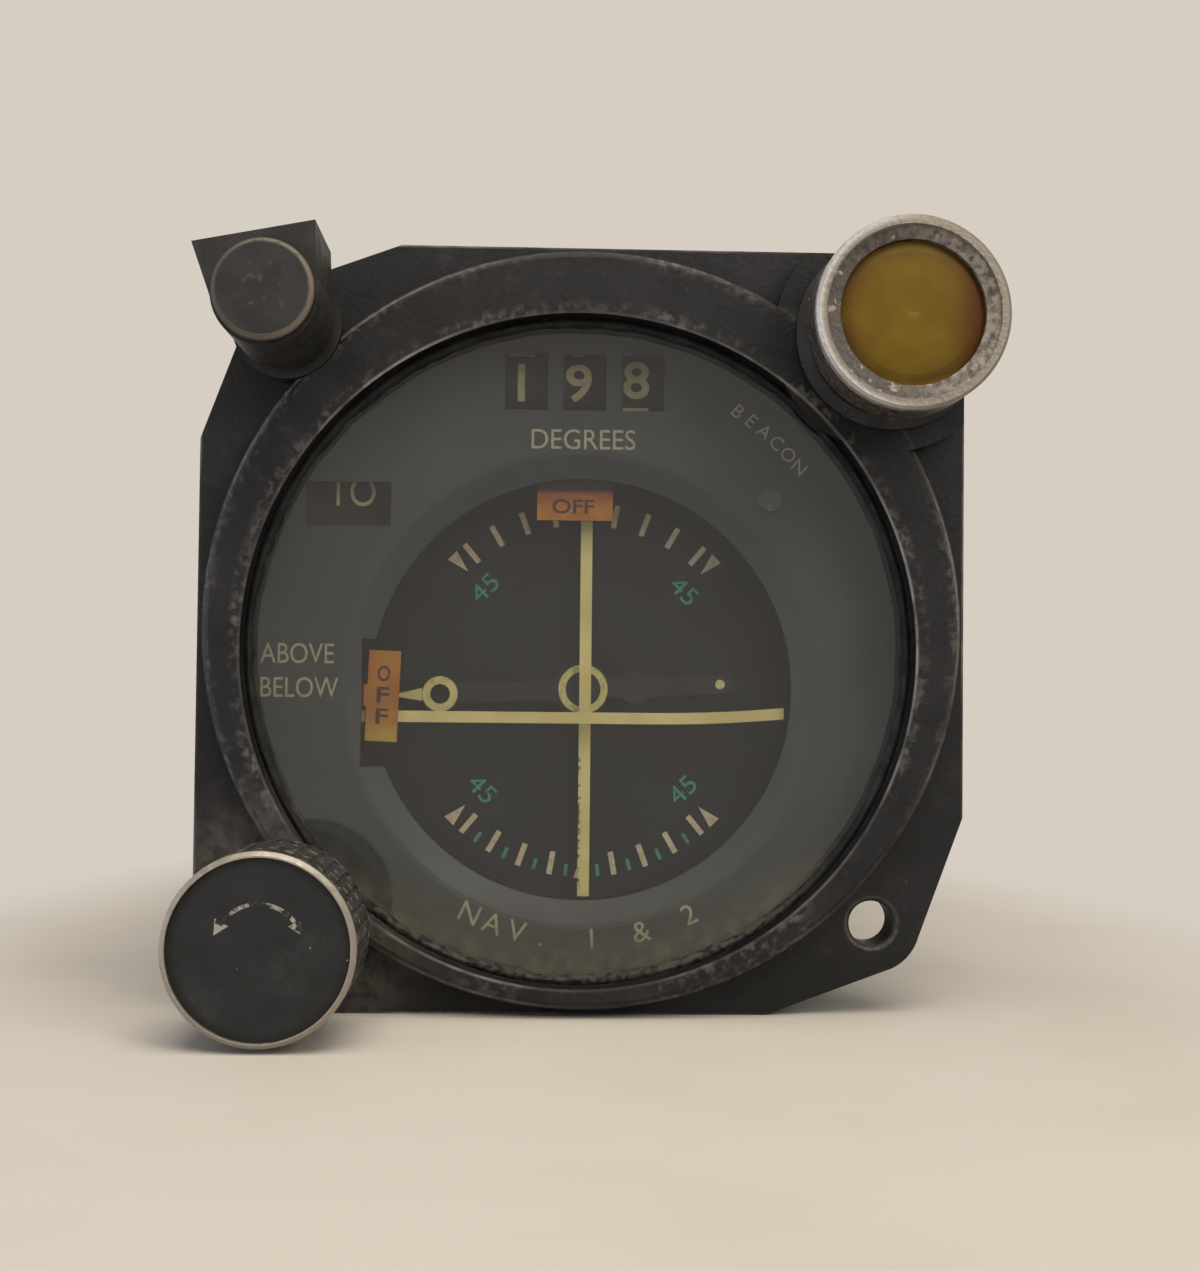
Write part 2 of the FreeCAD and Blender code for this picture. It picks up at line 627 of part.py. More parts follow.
def idler_gear():
    wheel = gear(IDLER_TEETH, MODULE, GEAR_Y, GEAR_Y + GEAR_W, IDLER_X, IDLER_Z, ARBOR_R / 2, IDLER_PHASE)
    holes = [cyl(1.4, GEAR_Y, GEAR_Y + GEAR_W, IDLER_X + 4 * math.cos(a), IDLER_Z + 4 * math.sin(a))
             for a in (0.3, 0.3 + 2 * math.pi / 3, 0.3 + 4 * math.pi / 3)]
    return wheel.cut(holes).fuse(arbor(IDLER_X, IDLER_Z))


def course_gear():
    wheel = gear(COURSE_TEETH, MODULE, GEAR_Y, GEAR_Y + GEAR_W, DIAL_X, DIAL_Z,
                 POINTER_SHAFT_R + 0.6, COURSE_PHASE)
    middle = (SNOUT_R + COURSE_R) / 2 + 0.3
    holes = []
    for k in range(WHEEL_HOLES):
        a = 2 * math.pi * k / WHEEL_HOLES
        holes.append(cyl(WHEEL_HOLE_R, GEAR_Y, GEAR_Y + GEAR_W, DIAL_X + middle * math.cos(a),
                         DIAL_Z + middle * math.sin(a)))
    return wheel.cut(holes)


def heading_synchro():
    """Synchro whose whole body is turned by the course gear on its snout."""
    y0 = GEAR_Y + GEAR_W
    y1 = MID_PLATE_Y + PLATE_T + 0.6
    y2 = y1 + SYNCHRO_L
    y3 = CENTRE_PLATE_Y + PLATE_T + JOURNAL_L
    body = turned([(POINTER_SHAFT_R + RUN, y0), (SNOUT_R, y0), (SNOUT_R, y1), (SYNCHRO_R - 1, y1),
                   (SYNCHRO_R, y1 + 1), (SYNCHRO_R, y1 + 5), (SYNCHRO_R - 0.8, y1 + 5),
                   (SYNCHRO_R - 0.8, y1 + 7), (SYNCHRO_R, y1 + 7), (SYNCHRO_R, y2 - 0.8),
                   (SYNCHRO_R - 0.8, y2), (JOURNAL_R, y2), (JOURNAL_R, y3), (0, y3),
                   (0, y1 + 8), (POINTER_SHAFT_R + RUN, y1 + 8)], DIAL_X, DIAL_Z)
    return body


def course_resolver():
    y0 = CENTRE_PLATE_Y + PLATE_T
    y1 = y0 + RESOLVER_L
    r = RESOLVER_R
    seat = JOURNAL_L + JOURNAL_SEAT
    return turned([(JOURNAL_R + RUN, y0), (r, y0), (r, y0 + 3), (r - 0.8, y0 + 3), (r - 0.8, y0 + 5),
                   (r, y0 + 5), (r, y1 - 0.8), (r - 0.8, y1), (0, y1), (0, y0 + seat),
                   (JOURNAL_R + RUN, y0 + seat)], DIAL_X, DIAL_Z)


def heading_pointer():
    """Flat pointer with an eye at its tip and a hub pressed on its shaft."""
    y0 = POINTER_Y
    y1 = POINTER_Y + POINTER_T
    eye_x = DIAL_X - POINTER_EYE_X
    bar = box(eye_x, DIAL_X + POINTER_TAIL, y0, y1, DIAL_Z - POINTER_W / 2, DIAL_Z + POINTER_W / 2)
    neck = POINTER_NECK_W / 2
    end = POINTER_TIP_W / 2
    tip_x = DIAL_X - POINTER_TIP
    tip = prism([(eye_x, DIAL_Z - neck), (tip_x, DIAL_Z - end),
                 (tip_x, DIAL_Z + end), (eye_x, DIAL_Z + neck)],
                y0, y1)
    eye = cyl(POINTER_EYE_R, y0, y1, eye_x, DIAL_Z)
    weight = cyl(POINTER_WEIGHT_R, y0, y1, DIAL_X + POINTER_WEIGHT_X, DIAL_Z)
    hub = cyl(POINTER_HUB_R, y0, y1, DIAL_X, DIAL_Z)
    flat = bar.fuse([tip, eye, weight, hub]).cut(cyl(POINTER_HOLE_R, y0, y1, eye_x, DIAL_Z))
    shaft = cyl(POINTER_SHAFT_R, y1, MID_PLATE_Y + PLATE_T + 8, DIAL_X, DIAL_Z)
    body = flat.fuse(shaft)
    body.rotate(FreeCAD.Vector(DIAL_X, 0, DIAL_Z), FreeCAD.Vector(0, 1, 0), POINTER_TURN)
    return body


def takeoff_gear():
    pinion = gear(TAKEOFF_PINION_TEETH, MODULE, GEAR_Y, GEAR_Y + GEAR_W, TAKEOFF_X, TAKEOFF_Z,
                  ARBOR_R / 2, TAKEOFF_PHASE)
    wheel = gear(TAKEOFF_TEETH, FINE_MODULE, FINE_Y, FINE_Y + GEAR_W, TAKEOFF_X, TAKEOFF_Z, ARBOR_R / 2, 0)
    collar = cyl(1.6, GEAR_Y + GEAR_W, FINE_Y, TAKEOFF_X, TAKEOFF_Z)
    return pinion.fuse([collar, wheel, arbor(TAKEOFF_X, TAKEOFF_Z)])


def transfer_gear():
    wheel = gear(TRANSFER_TEETH, FINE_MODULE, FINE_Y, FINE_Y + GEAR_W, TRANSFER_X, TRANSFER_Z,
                 ARBOR_R / 2, TRANSFER_PHASE)
    return wheel.fuse(arbor(TRANSFER_X, TRANSFER_Z))


def contrate_gear():
    """Face gear that turns the drive through a right angle, with its pinion on one arbor."""
    face_y = COUNTER_Y + FINE_MODULE * UNITS_PINION_TEETH / 2
    y0 = face_y - 0.8 * FINE_MODULE
    y1 = face_y + CONTRATE_TOOTH
    outer = CONTRATE_R + CONTRATE_RING / 2
    inner = CONTRATE_R - CONTRATE_RING / 2
    rim = cyl(outer, y0, y1, DRIVE_X, COUNTER_Z).cut(cyl(inner, y0, y1, DRIVE_X, COUNTER_Z))
    slots = []
    step = math.pi / CONTRATE_TEETH
    for i in range(CONTRATE_TEETH):
        a = math.pi + 2 * i * step
        points = []
        for r, share in ((inner - 0.3, -0.66), (outer + 0.3, -0.66), (outer + 0.3, 0.66), (inner - 0.3, 0.66)):
            points.append((DRIVE_X + r * math.cos(a + share * step), COUNTER_Z + r * math.sin(a + share * step)))
        slots.append(prism(points, y0 - 0.1, y1))
    web = cyl(outer, y1, FINE_Y, DRIVE_X, COUNTER_Z)
    pinion = gear(DRIVE_PINION_TEETH, FINE_MODULE, FINE_Y, FINE_Y + GEAR_W, DRIVE_X, COUNTER_Z,
                  ARBOR_R / 2, DRIVE_PHASE)
    return rim.cut(slots).fuse([web, pinion, arbor(DRIVE_X, COUNTER_Z)])


def drum(x, fixed):
    """Number drum; the units drum is fixed on the counter shaft, the others run on it."""
    bore = COUNTER_SHAFT_R if fixed else COUNTER_SHAFT_R + RUN
    x0 = x - DRUM_W / 2
    x1 = x + DRUM_W / 2
    rim = cyl_x(DRUM_R, x0, x1, COUNTER_Y, COUNTER_Z)
    hollow = cyl_x(DRUM_R - DRUM_WALL, x0 + DRUM_WALL, x1, COUNTER_Y, COUNTER_Z).cut(
        cyl_x(COUNTER_SHAFT_R + DRUM_BORE_WALL, x0 + DRUM_WALL, x1, COUNTER_Y, COUNTER_Z))
    return rim.cut(hollow).cut(cyl_x(bore, x0, x1, COUNTER_Y, COUNTER_Z))


def units_pinion():
    """Counter shaft with the pinion that the face gear drives."""
    pinion = gear(UNITS_PINION_TEETH, FINE_MODULE, 0, PINION_FACE, 0, 0, COUNTER_SHAFT_R / 2, 90)
    pinion.rotate(FreeCAD.Vector(0, 0, 0), FreeCAD.Vector(0, 0, 1), -90)
    pinion.translate(FreeCAD.Vector(UNITS_PINION_X, COUNTER_Y, COUNTER_Z))
    pinion.rotate(FreeCAD.Vector(0, COUNTER_Y, COUNTER_Z), FreeCAD.Vector(1, 0, 0), -90)
    shaft = cyl_x(COUNTER_SHAFT_R, -SIDE_X - SIDE_PLATE_T - 0.3, UNITS_PINION_X + PINION_FACE,
                  COUNTER_Y, COUNTER_Z)
    return pinion.fuse(shaft)


def counter_frame():
    """Two side plates, a tie bar behind the drums and feet on the front plate."""
    cy, cz = carry_place()
    reach = CARRY_SHAFT_R + FRAME_REACH
    y0, y1 = COUNTER_Y - FRAME_FRONT, cy + reach
    z0, z1 = COUNTER_Z - FRAME_LOW, cz + reach
    outline = [(y0, z0), (y1, z0), (y1, z1), (cy - reach, z1), (y0, COUNTER_Z)]
    parts = []
    for x in (-SIDE_X - SIDE_PLATE_T, SIDE_X):
        wire = Part.makePolygon([FreeCAD.Vector(x, y, z) for y, z in outline], True)
        plate = Part.Face(wire).extrude(FreeCAD.Vector(SIDE_PLATE_T, 0, 0))
        parts.append(plate.cut(cyl_x(COUNTER_SHAFT_R + RUN, x, x + SIDE_PLATE_T, COUNTER_Y, COUNTER_Z)))
    edge = SIDE_X + SIDE_PLATE_T
    bar_z = COUNTER_Z - FRAME_LOW
    foot_y = PLATE_BACK_Y + FOOT_T
    left_z = COUNTER_Z + LEFT_FOOT_RISE
    parts.append(box(-edge, edge, y1 - TIE_BAR_T, y1, bar_z, bar_z + TIE_BAR_H))
    parts.append(box(SIDE_X, RIGHT_FOOT_X, PLATE_BACK_Y, foot_y, z0, z0 + FOOT_W))
    parts.append(box(LEFT_FOOT_X, -SIDE_X, PLATE_BACK_Y, foot_y, left_z, left_z + LEFT_FOOT_W))
    body = parts[0].fuse(parts[1:])
    body = body.cut(cyl_x(COUNTER_SHAFT_R + RUN, -edge - 1, edge + 1, COUNTER_Y, COUNTER_Z))
    return body.cut(cyl_x(CARRY_SHAFT_R, -edge, edge, cy, cz))


def carry_place():
    reach = DRUM_R + CARRY_R + CARRY_GAP
    rise = math.radians(CARRY_RISE)
    return COUNTER_Y + reach * math.cos(rise), COUNTER_Z + reach * math.sin(rise)


def carry_pinions():
    """Carry pinions between the drums, on their own shaft in the counter frame."""
    cy, cz = carry_place()
    edge = SIDE_X + SIDE_PLATE_T
    body = cyl_x(CARRY_SHAFT_R - RUN, -edge, edge, cy, cz)
    for i in (-0.5, 0.5):
        x = i * DIGIT_PITCH - CARRY_W / 2
        points = []
        for k in range(CARRY_TEETH * 2):
            r = CARRY_R if k % 2 else CARRY_R * 0.66
            a = math.pi * (k + 0.5) / CARRY_TEETH
            points.append(FreeCAD.Vector(x, cy + r * math.cos(a), cz + r * math.sin(a)))
        star = Part.Face(Part.makePolygon(points, True)).extrude(FreeCAD.Vector(CARRY_W, 0, 0))
        body = body.fuse(star)
    return body


def along(axis, r, a0, a1, x, y, z):
    """Cylinder along x or z whose place on that axis runs from a0 to a1."""
    if axis == "x":
        return cyl_x(r, a0, a1, y, z)
    return cyl_z(r, a0, a1, x, y)


def meter_housing(axis, r, a0, a1, x, y, z, pad):
    """Magnet ring with end caps; its pad seats it on a frame plate."""
    body = along(axis, r, a0, a1, x, y, z)
    hollow = along(axis, r - METER_WALL, a0 + METER_WALL, a1 - METER_WALL, x, y, z)
    if axis == "x":
        foot = box(a0 + 0.5, a1 - 0.5, min(y, pad), max(y, pad), z - METER_PAD_W / 2, z + METER_PAD_W / 2)
    else:
        foot = box(x - METER_PAD_W / 2, x + METER_PAD_W / 2, min(y, pad), max(y, pad), a0 + 0.5, a1 - 0.5)
    body = body.fuse(foot).cut(hollow)
    return body.cut(along(axis, STAFF_R + RUN, a0 - 1, a1 + 1, x, y, z))


def meter_rotor(axis, r, a0, a1, x, y, z, reach):
    """Coil on its staff; the staff comes out of one end cap as far as its arm."""
    coil = along(axis, r - METER_WALL - METER_GAP, a0 + METER_WALL + 0.4, a1 - METER_WALL - 0.4, x, y, z)
    low = min(a0 + 0.3, reach)
    high = max(a1 - 0.3, reach)
    return coil.fuse(along(axis, STAFF_R, low, high, x, y, z))


COURSE_METER = ("z", BIG_METER_R, 2.2, 2.2 + BIG_METER_L, COURSE_BAR_X, COURSE_AXIS_Y, 0)
SLOPE_METER = ("x", BIG_METER_R, SLOPE_ARM_X + ARM_T / 2 + STAFF_STANDOFF,
               SLOPE_ARM_X + ARM_T / 2 + STAFF_STANDOFF + BIG_METER_L, 0, SLOPE_AXIS_Y, SLOPE_BAR_Z)
TOP_FLAG_METER = ("x", FLAG_METER_R, TOP_FLAG_ARM_X + 1.5, TOP_FLAG_ARM_X + 1.5 + FLAG_METER_L,
                  0, FLAG_AXIS_Y, TOP_FLAG_AXIS_Z)
SIDE_FLAG_METER = ("z", FLAG_METER_R, SIDE_FLAG_ARM_Z + 2.6, SIDE_FLAG_ARM_Z + 2.6 + FLAG_METER_L,
                   SIDE_FLAG_ARM_X, FLAG_AXIS_Y, 0)
VANE_METER = ("x", VANE_METER_R, WORD_X + 0.8, WORD_X + 0.8 + VANE_METER_L, 0, VANE_AXIS_Y, VANE_ARM_Z)


def course_needle():
    """Vertical bar that hangs from the arm of its meter."""
    x = COURSE_BAR_X
    y = COURSE_BAR_Y
    bar = box(x - COURSE_BAR_W / 2, x + COURSE_BAR_W / 2, y, y + BAR_T, COURSE_BAR_LOW, COURSE_ARM_Z)
    hanger = box(x - ARM_W / 2, x + ARM_W / 2, y, COURSE_AXIS_Y, COURSE_ARM_Z - ARM_T / 2,
                 COURSE_ARM_Z + ARM_T / 2)
    return bar.fuse([hanger, meter_rotor(*COURSE_METER, COURSE_ARM_Z + ARM_T / 2)])


def slope_needle():
    """Horizontal bar, bent gently up at its free end, on the arm of its meter."""
    y = SLOPE_BAR_Y
    z = SLOPE_BAR_Z
    h = SLOPE_BAR_W / 2
    right = SLOPE_BAR_RIGHT
    run = right - SLOPE_BEND_X
    rise = SLOPE_BEND_RISE
    radius = (run * run + rise * rise) / (2 * rise)
    left = SLOPE_ARM_X - ARM_T / 2
    bar = box(left, SLOPE_BEND_X, y, y + BAR_T, z - h, z + h)
    cz = z + radius
    bend = cyl(radius + h, y, y + BAR_T, SLOPE_BEND_X, cz).cut(
        cyl(radius - h, y, y + BAR_T, SLOPE_BEND_X, cz))
    bend = bend.common(box(SLOPE_BEND_X, right, y, y + BAR_T, z - 2 * h, z + 2 * rise + 2 * h))
    arm = box(left, SLOPE_ARM_X + ARM_T / 2, y, SLOPE_AXIS_Y, z - ARM_W / 2, z + ARM_W / 2)
    return bar.fuse([bend, arm, meter_rotor(*SLOPE_METER, left)])


def top_flag():
    """Warning flag over the course bar; its tail runs left under the mask to its arm."""
    y = FLAG_Y
    edge = TOP_FLAG_ARM_X - ARM_T / 2
    flag = box(TOP_FLAG_X0, TOP_FLAG_X1, y, y + FLAG_T, TOP_FLAG_Z0, TOP_FLAG_Z1)
    tail = box(edge, TOP_FLAG_X0, y, y + FLAG_T, TOP_FLAG_TAIL_Z, TOP_FLAG_Z1)
    arm = box(edge, edge + ARM_T, y, FLAG_AXIS_Y, TOP_FLAG_AXIS_Z - ARM_W / 2,
              TOP_FLAG_AXIS_Z + ARM_W / 2)
    return flag.fuse([tail, arm, meter_rotor(*TOP_FLAG_METER, edge)])


def side_flag():
    """Warning flag at the left; its tail runs up under the mask to its arm."""
    y = FLAG_Y
    top = SIDE_FLAG_ARM_Z + ARM_T / 2
    left = SIDE_FLAG_ARM_X - ARM_W / 2
    middle = (SIDE_FLAG_Z0 + SIDE_FLAG_Z1) / 2
    low = middle - SIDE_FLAG_BRIDGE_W / 2
    flag = box(SIDE_FLAG_X0, SIDE_FLAG_X1, y, y + FLAG_T, SIDE_FLAG_Z0, SIDE_FLAG_Z1)
    flag.rotate(FreeCAD.Vector(SIDE_FLAG_X0, y, middle), FreeCAD.Vector(0, 1, 0), SIDE_FLAG_TILT)
    bridge = box(left, SIDE_FLAG_X0 + 0.3, y, y + FLAG_T, low, low + SIDE_FLAG_BRIDGE_W)
    tail = box(left, left + SIDE_FLAG_TAIL_W, y, y + FLAG_T, low, top)
    arm = box(left, left + ARM_W, y, FLAG_AXIS_Y, top - ARM_T, top)
    return flag.fuse([bridge, tail, arm, meter_rotor(*SIDE_FLAG_METER, top - ARM_T)])


def word_vane():
    """Vane behind the small window, with an arm back to its meter."""
    y = VANE_Y
    vane = box(WORD_X - VANE_W / 2, WORD_X + VANE_W / 2, y, y + FLAG_T, VANE_Z0, VANE_Z1)
    left = WORD_X - ARM_T / 2
    arm = box(left, left + ARM_T, y, VANE_AXIS_Y, VANE_ARM_Z - ARM_W / 2, VANE_ARM_Z + ARM_W / 2)
    return vane.fuse([arm, meter_rotor(*VANE_METER, left)])


def knob_shell():
    """Turned knob with a fluted skirt, hollow behind, with a hub bored for the shaft."""
    y0 = FRONT_Y - KNOB_FRONT
    y1 = y0 + KNOB_SKIRT
    skirt = turned([(0, y0 + 0.3), (KNOB_R - 0.9, y0), (KNOB_R - 0.4, y0), (KNOB_R, y0 + 0.4),
                    (KNOB_R, y1 - 0.4), (KNOB_R - 0.4, y1), (0, y1)], KNOB_X, KNOB_Z)
    hollow = cyl(KNOB_R - KNOB_WALL, y0 + KNOB_TOP_T, y1, KNOB_X, KNOB_Z).cut(
        cyl(KNOB_HUB_R, y0 + KNOB_TOP_T, y1, KNOB_X, KNOB_Z))
    body = skirt.cut(hollow)
    body = body.cut(cyl(KNOB_DISC_R, y0 - 1, y0 + KNOB_DISC_SINK + 0.6, KNOB_X, KNOB_Z))
    body = body.cut(cyl(SHAFT_R, y0 + KNOB_TOP_T, y1, KNOB_X, KNOB_Z))
    flutes = []
    for i in range(KNOB_FLUTES):
        a = 2 * math.pi * i / KNOB_FLUTES
        r = KNOB_R + 0.12
        flutes.append(cyl(0.32, y0 + 1.6, y1 - 1.2, KNOB_X + r * math.cos(a), KNOB_Z + r * math.sin(a)))
    body = body.cut(flutes)
    return body.cut(set_screw_bore(SCREW_R))


def set_screw_bore(r):
    """Radial bore or screw at the outer side of the knob."""
    y = FRONT_Y - KNOB_FRONT + KNOB_SKIRT * 0.62
    start = FreeCAD.Vector(KNOB_X, y, KNOB_Z) + FreeCAD.Vector(-1, 0, 0) * SHAFT_R
    return Part.makeCylinder(r, KNOB_R - SHAFT_R - 0.4, start, FreeCAD.Vector(-1, 0, 0))


def knob_disc():
    y0 = FRONT_Y - KNOB_FRONT + KNOB_DISC_SINK
    return cyl(KNOB_DISC_R - RUN, y0, y0 + 0.6, KNOB_X, KNOB_Z)


def knob_set_screw():
    return set_screw_bore(SCREW_R - RUN)


def knob_shaft():
    y0 = FRONT_Y - KNOB_FRONT + KNOB_TOP_T
    y1 = GEAR_Y + GEAR_W
    body = cyl(SHAFT_R - RUN / 2, y0, GEAR_Y - 0.9, KNOB_X, KNOB_Z)
    body = body.fuse(cyl(SHAFT_R - 1.6, GEAR_Y - 0.9, y1, KNOB_X, KNOB_Z))
    return body.fuse(cyl(SHAFT_R - 1.4 - RUN, y1, LOBE_DEPTH + LOBE_COVER_T, KNOB_X, KNOB_Z))


def knob_bushing():
    """Threaded bushing through the flange, with its nut in front."""
    y0 = FRONT_Y - BUSHING_L
    seat = KNOB_SEAT_Y
    tube = cyl(BUSHING_R - RUN, y0, GEAR_Y - 0.9, KNOB_X, KNOB_Z)
    points = [(KNOB_X + NUT_R * math.cos(k * math.pi / 3), KNOB_Z + NUT_R * math.sin(k * math.pi / 3))
              for k in range(6)]
    nut = prism(points, seat - NUT_T, seat).common(cyl(NUT_R - 0.25, seat - NUT_T, seat, KNOB_X, KNOB_Z))
    return tube.fuse(nut).cut(cyl(SHAFT_R + RUN / 2, y0, GEAR_Y, KNOB_X, KNOB_Z))


def lamp_body():
    """Lamp holder on the casting's boss, with a wider foot and a bore for the bulb."""
    y0 = FRONT_Y - LAMP_FRONT + 3.2
    step = FRONT_Y - LAMP_FRONT + LAMP_CAP_L + 0.4
    inner = LAMP_CAP_R - LAMP_RIM_W - 0.6 - RUN
    floor = RING_Y - LAMP_FLOOR_T
    return turned([(LAMP_BORE_R, y0), (inner, y0), (inner, step), (LAMP_BODY_R, step),
                   (LAMP_BODY_R, RING_Y - LAMP_FOOT_H), (LAMP_FOOT_R, RING_Y - LAMP_FOOT_H + 0.5),
                   (LAMP_FOOT_R, RING_Y), (BULB_BASE_R + RUN, RING_Y), (BULB_BASE_R + RUN, floor),
                   (LAMP_BORE_R, floor)], LAMP_X, LAMP_Z)


def lamp_cap():
    y0 = FRONT_Y - LAMP_FRONT
    y1 = y0 + LAMP_CAP_L
    r = LAMP_CAP_R
    seat = y0 + 0.8
    inner = r - LAMP_RIM_W - 0.6
    body = turned([(LAMP_LENS_R - 0.7, seat + LAMP_LENS_T), (LAMP_LENS_R - 0.7, seat + LAMP_LENS_T - 0.5),
                   (LAMP_LENS_R + RUN, seat + LAMP_LENS_T - 0.5), (LAMP_LENS_R + RUN, y0 + 0.5),
                   (r - LAMP_RIM_W, y0 + 0.25), (r - LAMP_RIM_W, y0), (r - 0.3, y0), (r, y0 + 0.3),
                   (r, y1 - 0.3), (r - 0.3, y1), (inner, y1), (inner, seat + LAMP_LENS_T)], LAMP_X, LAMP_Z)
    return body


def lamp_lens():
    """Shallow domed lens held behind the cap's front."""
    y0 = FRONT_Y - LAMP_FRONT + 0.8
    y1 = y0 + LAMP_LENS_T - 0.5
    r = LAMP_LENS_R
    dome = turned([(0, y0 - 0.35), (r * 0.5, y0 - 0.25), (r * 0.85, y0), (r, y0 + 0.35), (r, y1), (0, y1)],
                  LAMP_X, LAMP_Z)
    return dome


def lamp_bulb():
    y0 = FRONT_Y - LAMP_FRONT + 4.6
    y1 = RING_Y - 4.2
    return turned([(0, y0), (BULB_R * 0.6, y0 + 0.4), (BULB_R, y0 + 1.6), (BULB_R, y1),
                   (BULB_BASE_R, y1 + 0.4), (BULB_BASE_R, RING_Y), (0, RING_Y)], LAMP_X, LAMP_Z)


def light_base():
    """Stepped base of the post light with its threaded stud through the flange."""
    y = FRONT_Y
    body = turned([(0, y - 7.0), (HOOD_R - 0.9, y - 7.0), (HOOD_R - 0.9, y - 3.2), (LIGHT_BASE_R, y - 3.2),
                   (LIGHT_BASE_R, y), (LIGHT_SHANK_R, y), (LIGHT_SHANK_R, 0), (LIGHT_STUD_R, 0),
                   (LIGHT_STUD_R, LIGHT_STUD_REACH - LIGHT_STUD_EDGE),
                   (LIGHT_STUD_R - LIGHT_STUD_EDGE, LIGHT_STUD_REACH), (0, LIGHT_STUD_REACH)],
                  LIGHT_X, LIGHT_Z)
    return body


def hood_outline(y0, y1, shrink=0.0):
    """Round below, flat on top with straight tapering sides."""
    r = HOOD_R - shrink
    top = HOOD_RISE - shrink
    half = HOOD_FLAT / 2 - shrink
    a = math.radians(22)
    points = [(-half, top), (half, top), (r * math.cos(a), -r * math.sin(a)),
              (-r * math.cos(a), -r * math.sin(a))]
    shape = prism(points, y0, y1).fuse(cyl(r, y0, y1))
    shape.rotate(FreeCAD.Vector(0, 0, 0), FreeCAD.Vector(0, 1, 0), -HOOD_TILT)
    shape.translate(FreeCAD.Vector(LIGHT_X, 0, LIGHT_Z))
    return shape


def light_hood():
    y0 = FRONT_Y - POST_LIGHT_FRONT + LIGHT_CAP_T
    y1 = y0 + HOOD_L
    body = hood_outline(y0, y1)
    body = body.cut(cyl(LIGHT_CAP_R - 0.8, y0, y1, LIGHT_X, LIGHT_Z))
    return body.cut(cyl(HOOD_R - 0.9 + RUN, FRONT_Y - 7.0, y1, LIGHT_X, LIGHT_Z))


def light_cap():
    """Screw cap at the front of the post light."""
    y0 = FRONT_Y - POST_LIGHT_FRONT
    y1 = y0 + LIGHT_CAP_T
    return turned([(0, y0), (LIGHT_CAP_R - 0.4, y0), (LIGHT_CAP_R, y0 + 0.4), (LIGHT_CAP_R, y1),
                   (LIGHT_CAP_R - 0.8 - RUN, y1), (LIGHT_CAP_R - 0.8 - RUN, y1 + 3),
                   (LIGHT_CAP_R - 2.0, y1 + 3), (LIGHT_CAP_R - 2.0, y1), (0, y1)], LIGHT_X, LIGHT_Z)


def light_bulb():
    y1 = FRONT_Y - 7.0
    r = LIGHT_BULB_R
    return turned([(0, y1 - 6.4), (r * 0.7, y1 - 6.0), (r, y1 - 5.0), (r, y1), (0, y1)], LIGHT_X, LIGHT_Z)


def connector_shell():
    """Square flanged receptacle with a round shell, open to the rear."""
    y0 = CASE_LENGTH + COVER_T
    half = CONNECTOR_BASE / 2
    base = box(-half, half, y0, y0 + CONNECTOR_BASE_T, CONNECTOR_Z - half, CONNECTOR_Z + half)
    edges = [e for e in base.Edges if e.BoundBox.YLength > CONNECTOR_BASE_T - 0.01]
    base = base.makeFillet(2.5, edges)
    tube = turned([(SHELL_R, y0), (SHELL_R, y0 + SHELL_L - 0.6), (SHELL_R - 0.6, y0 + SHELL_L),
                   (SHELL_R - SHELL_WALL, y0 + SHELL_L), (SHELL_R - SHELL_WALL, y0)], 0, CONNECTOR_Z)
    body = base.fuse(tube).cut(cyl(SHELL_R - SHELL_WALL, y0, y0 + SHELL_L, 0, CONNECTOR_Z))
    for x, z in connector_corners():
        body = body.cut(cyl(SCREW_R, y0, y0 + CONNECTOR_BASE_T, x, z))
    return body


def connector_corners():
    reach = CONNECTOR_BASE / 2 - 3.4
    return [(sx * reach, CONNECTOR_Z + sz * reach) for sx in (-1, 1) for sz in (-1, 1)]


def connector_insert():
    """Moulded insert with three rings of contact pins."""
    y0 = CASE_LENGTH + COVER_T
    body = cyl(SHELL_R - SHELL_WALL - RUN, y0, y0 + INSERT_L, 0, CONNECTOR_Z)
    for count, ring_r in ((1, 0), (6, 4.2), (12, 8.6)):
        for k in range(count):
            a = 2 * math.pi * k / count
            pin = cyl(PIN_R, y0 + INSERT_L, y0 + INSERT_L + PIN_L, ring_r * math.cos(a),
                      CONNECTOR_Z + ring_r * math.sin(a))
            body = body.fuse(pin)
    return body


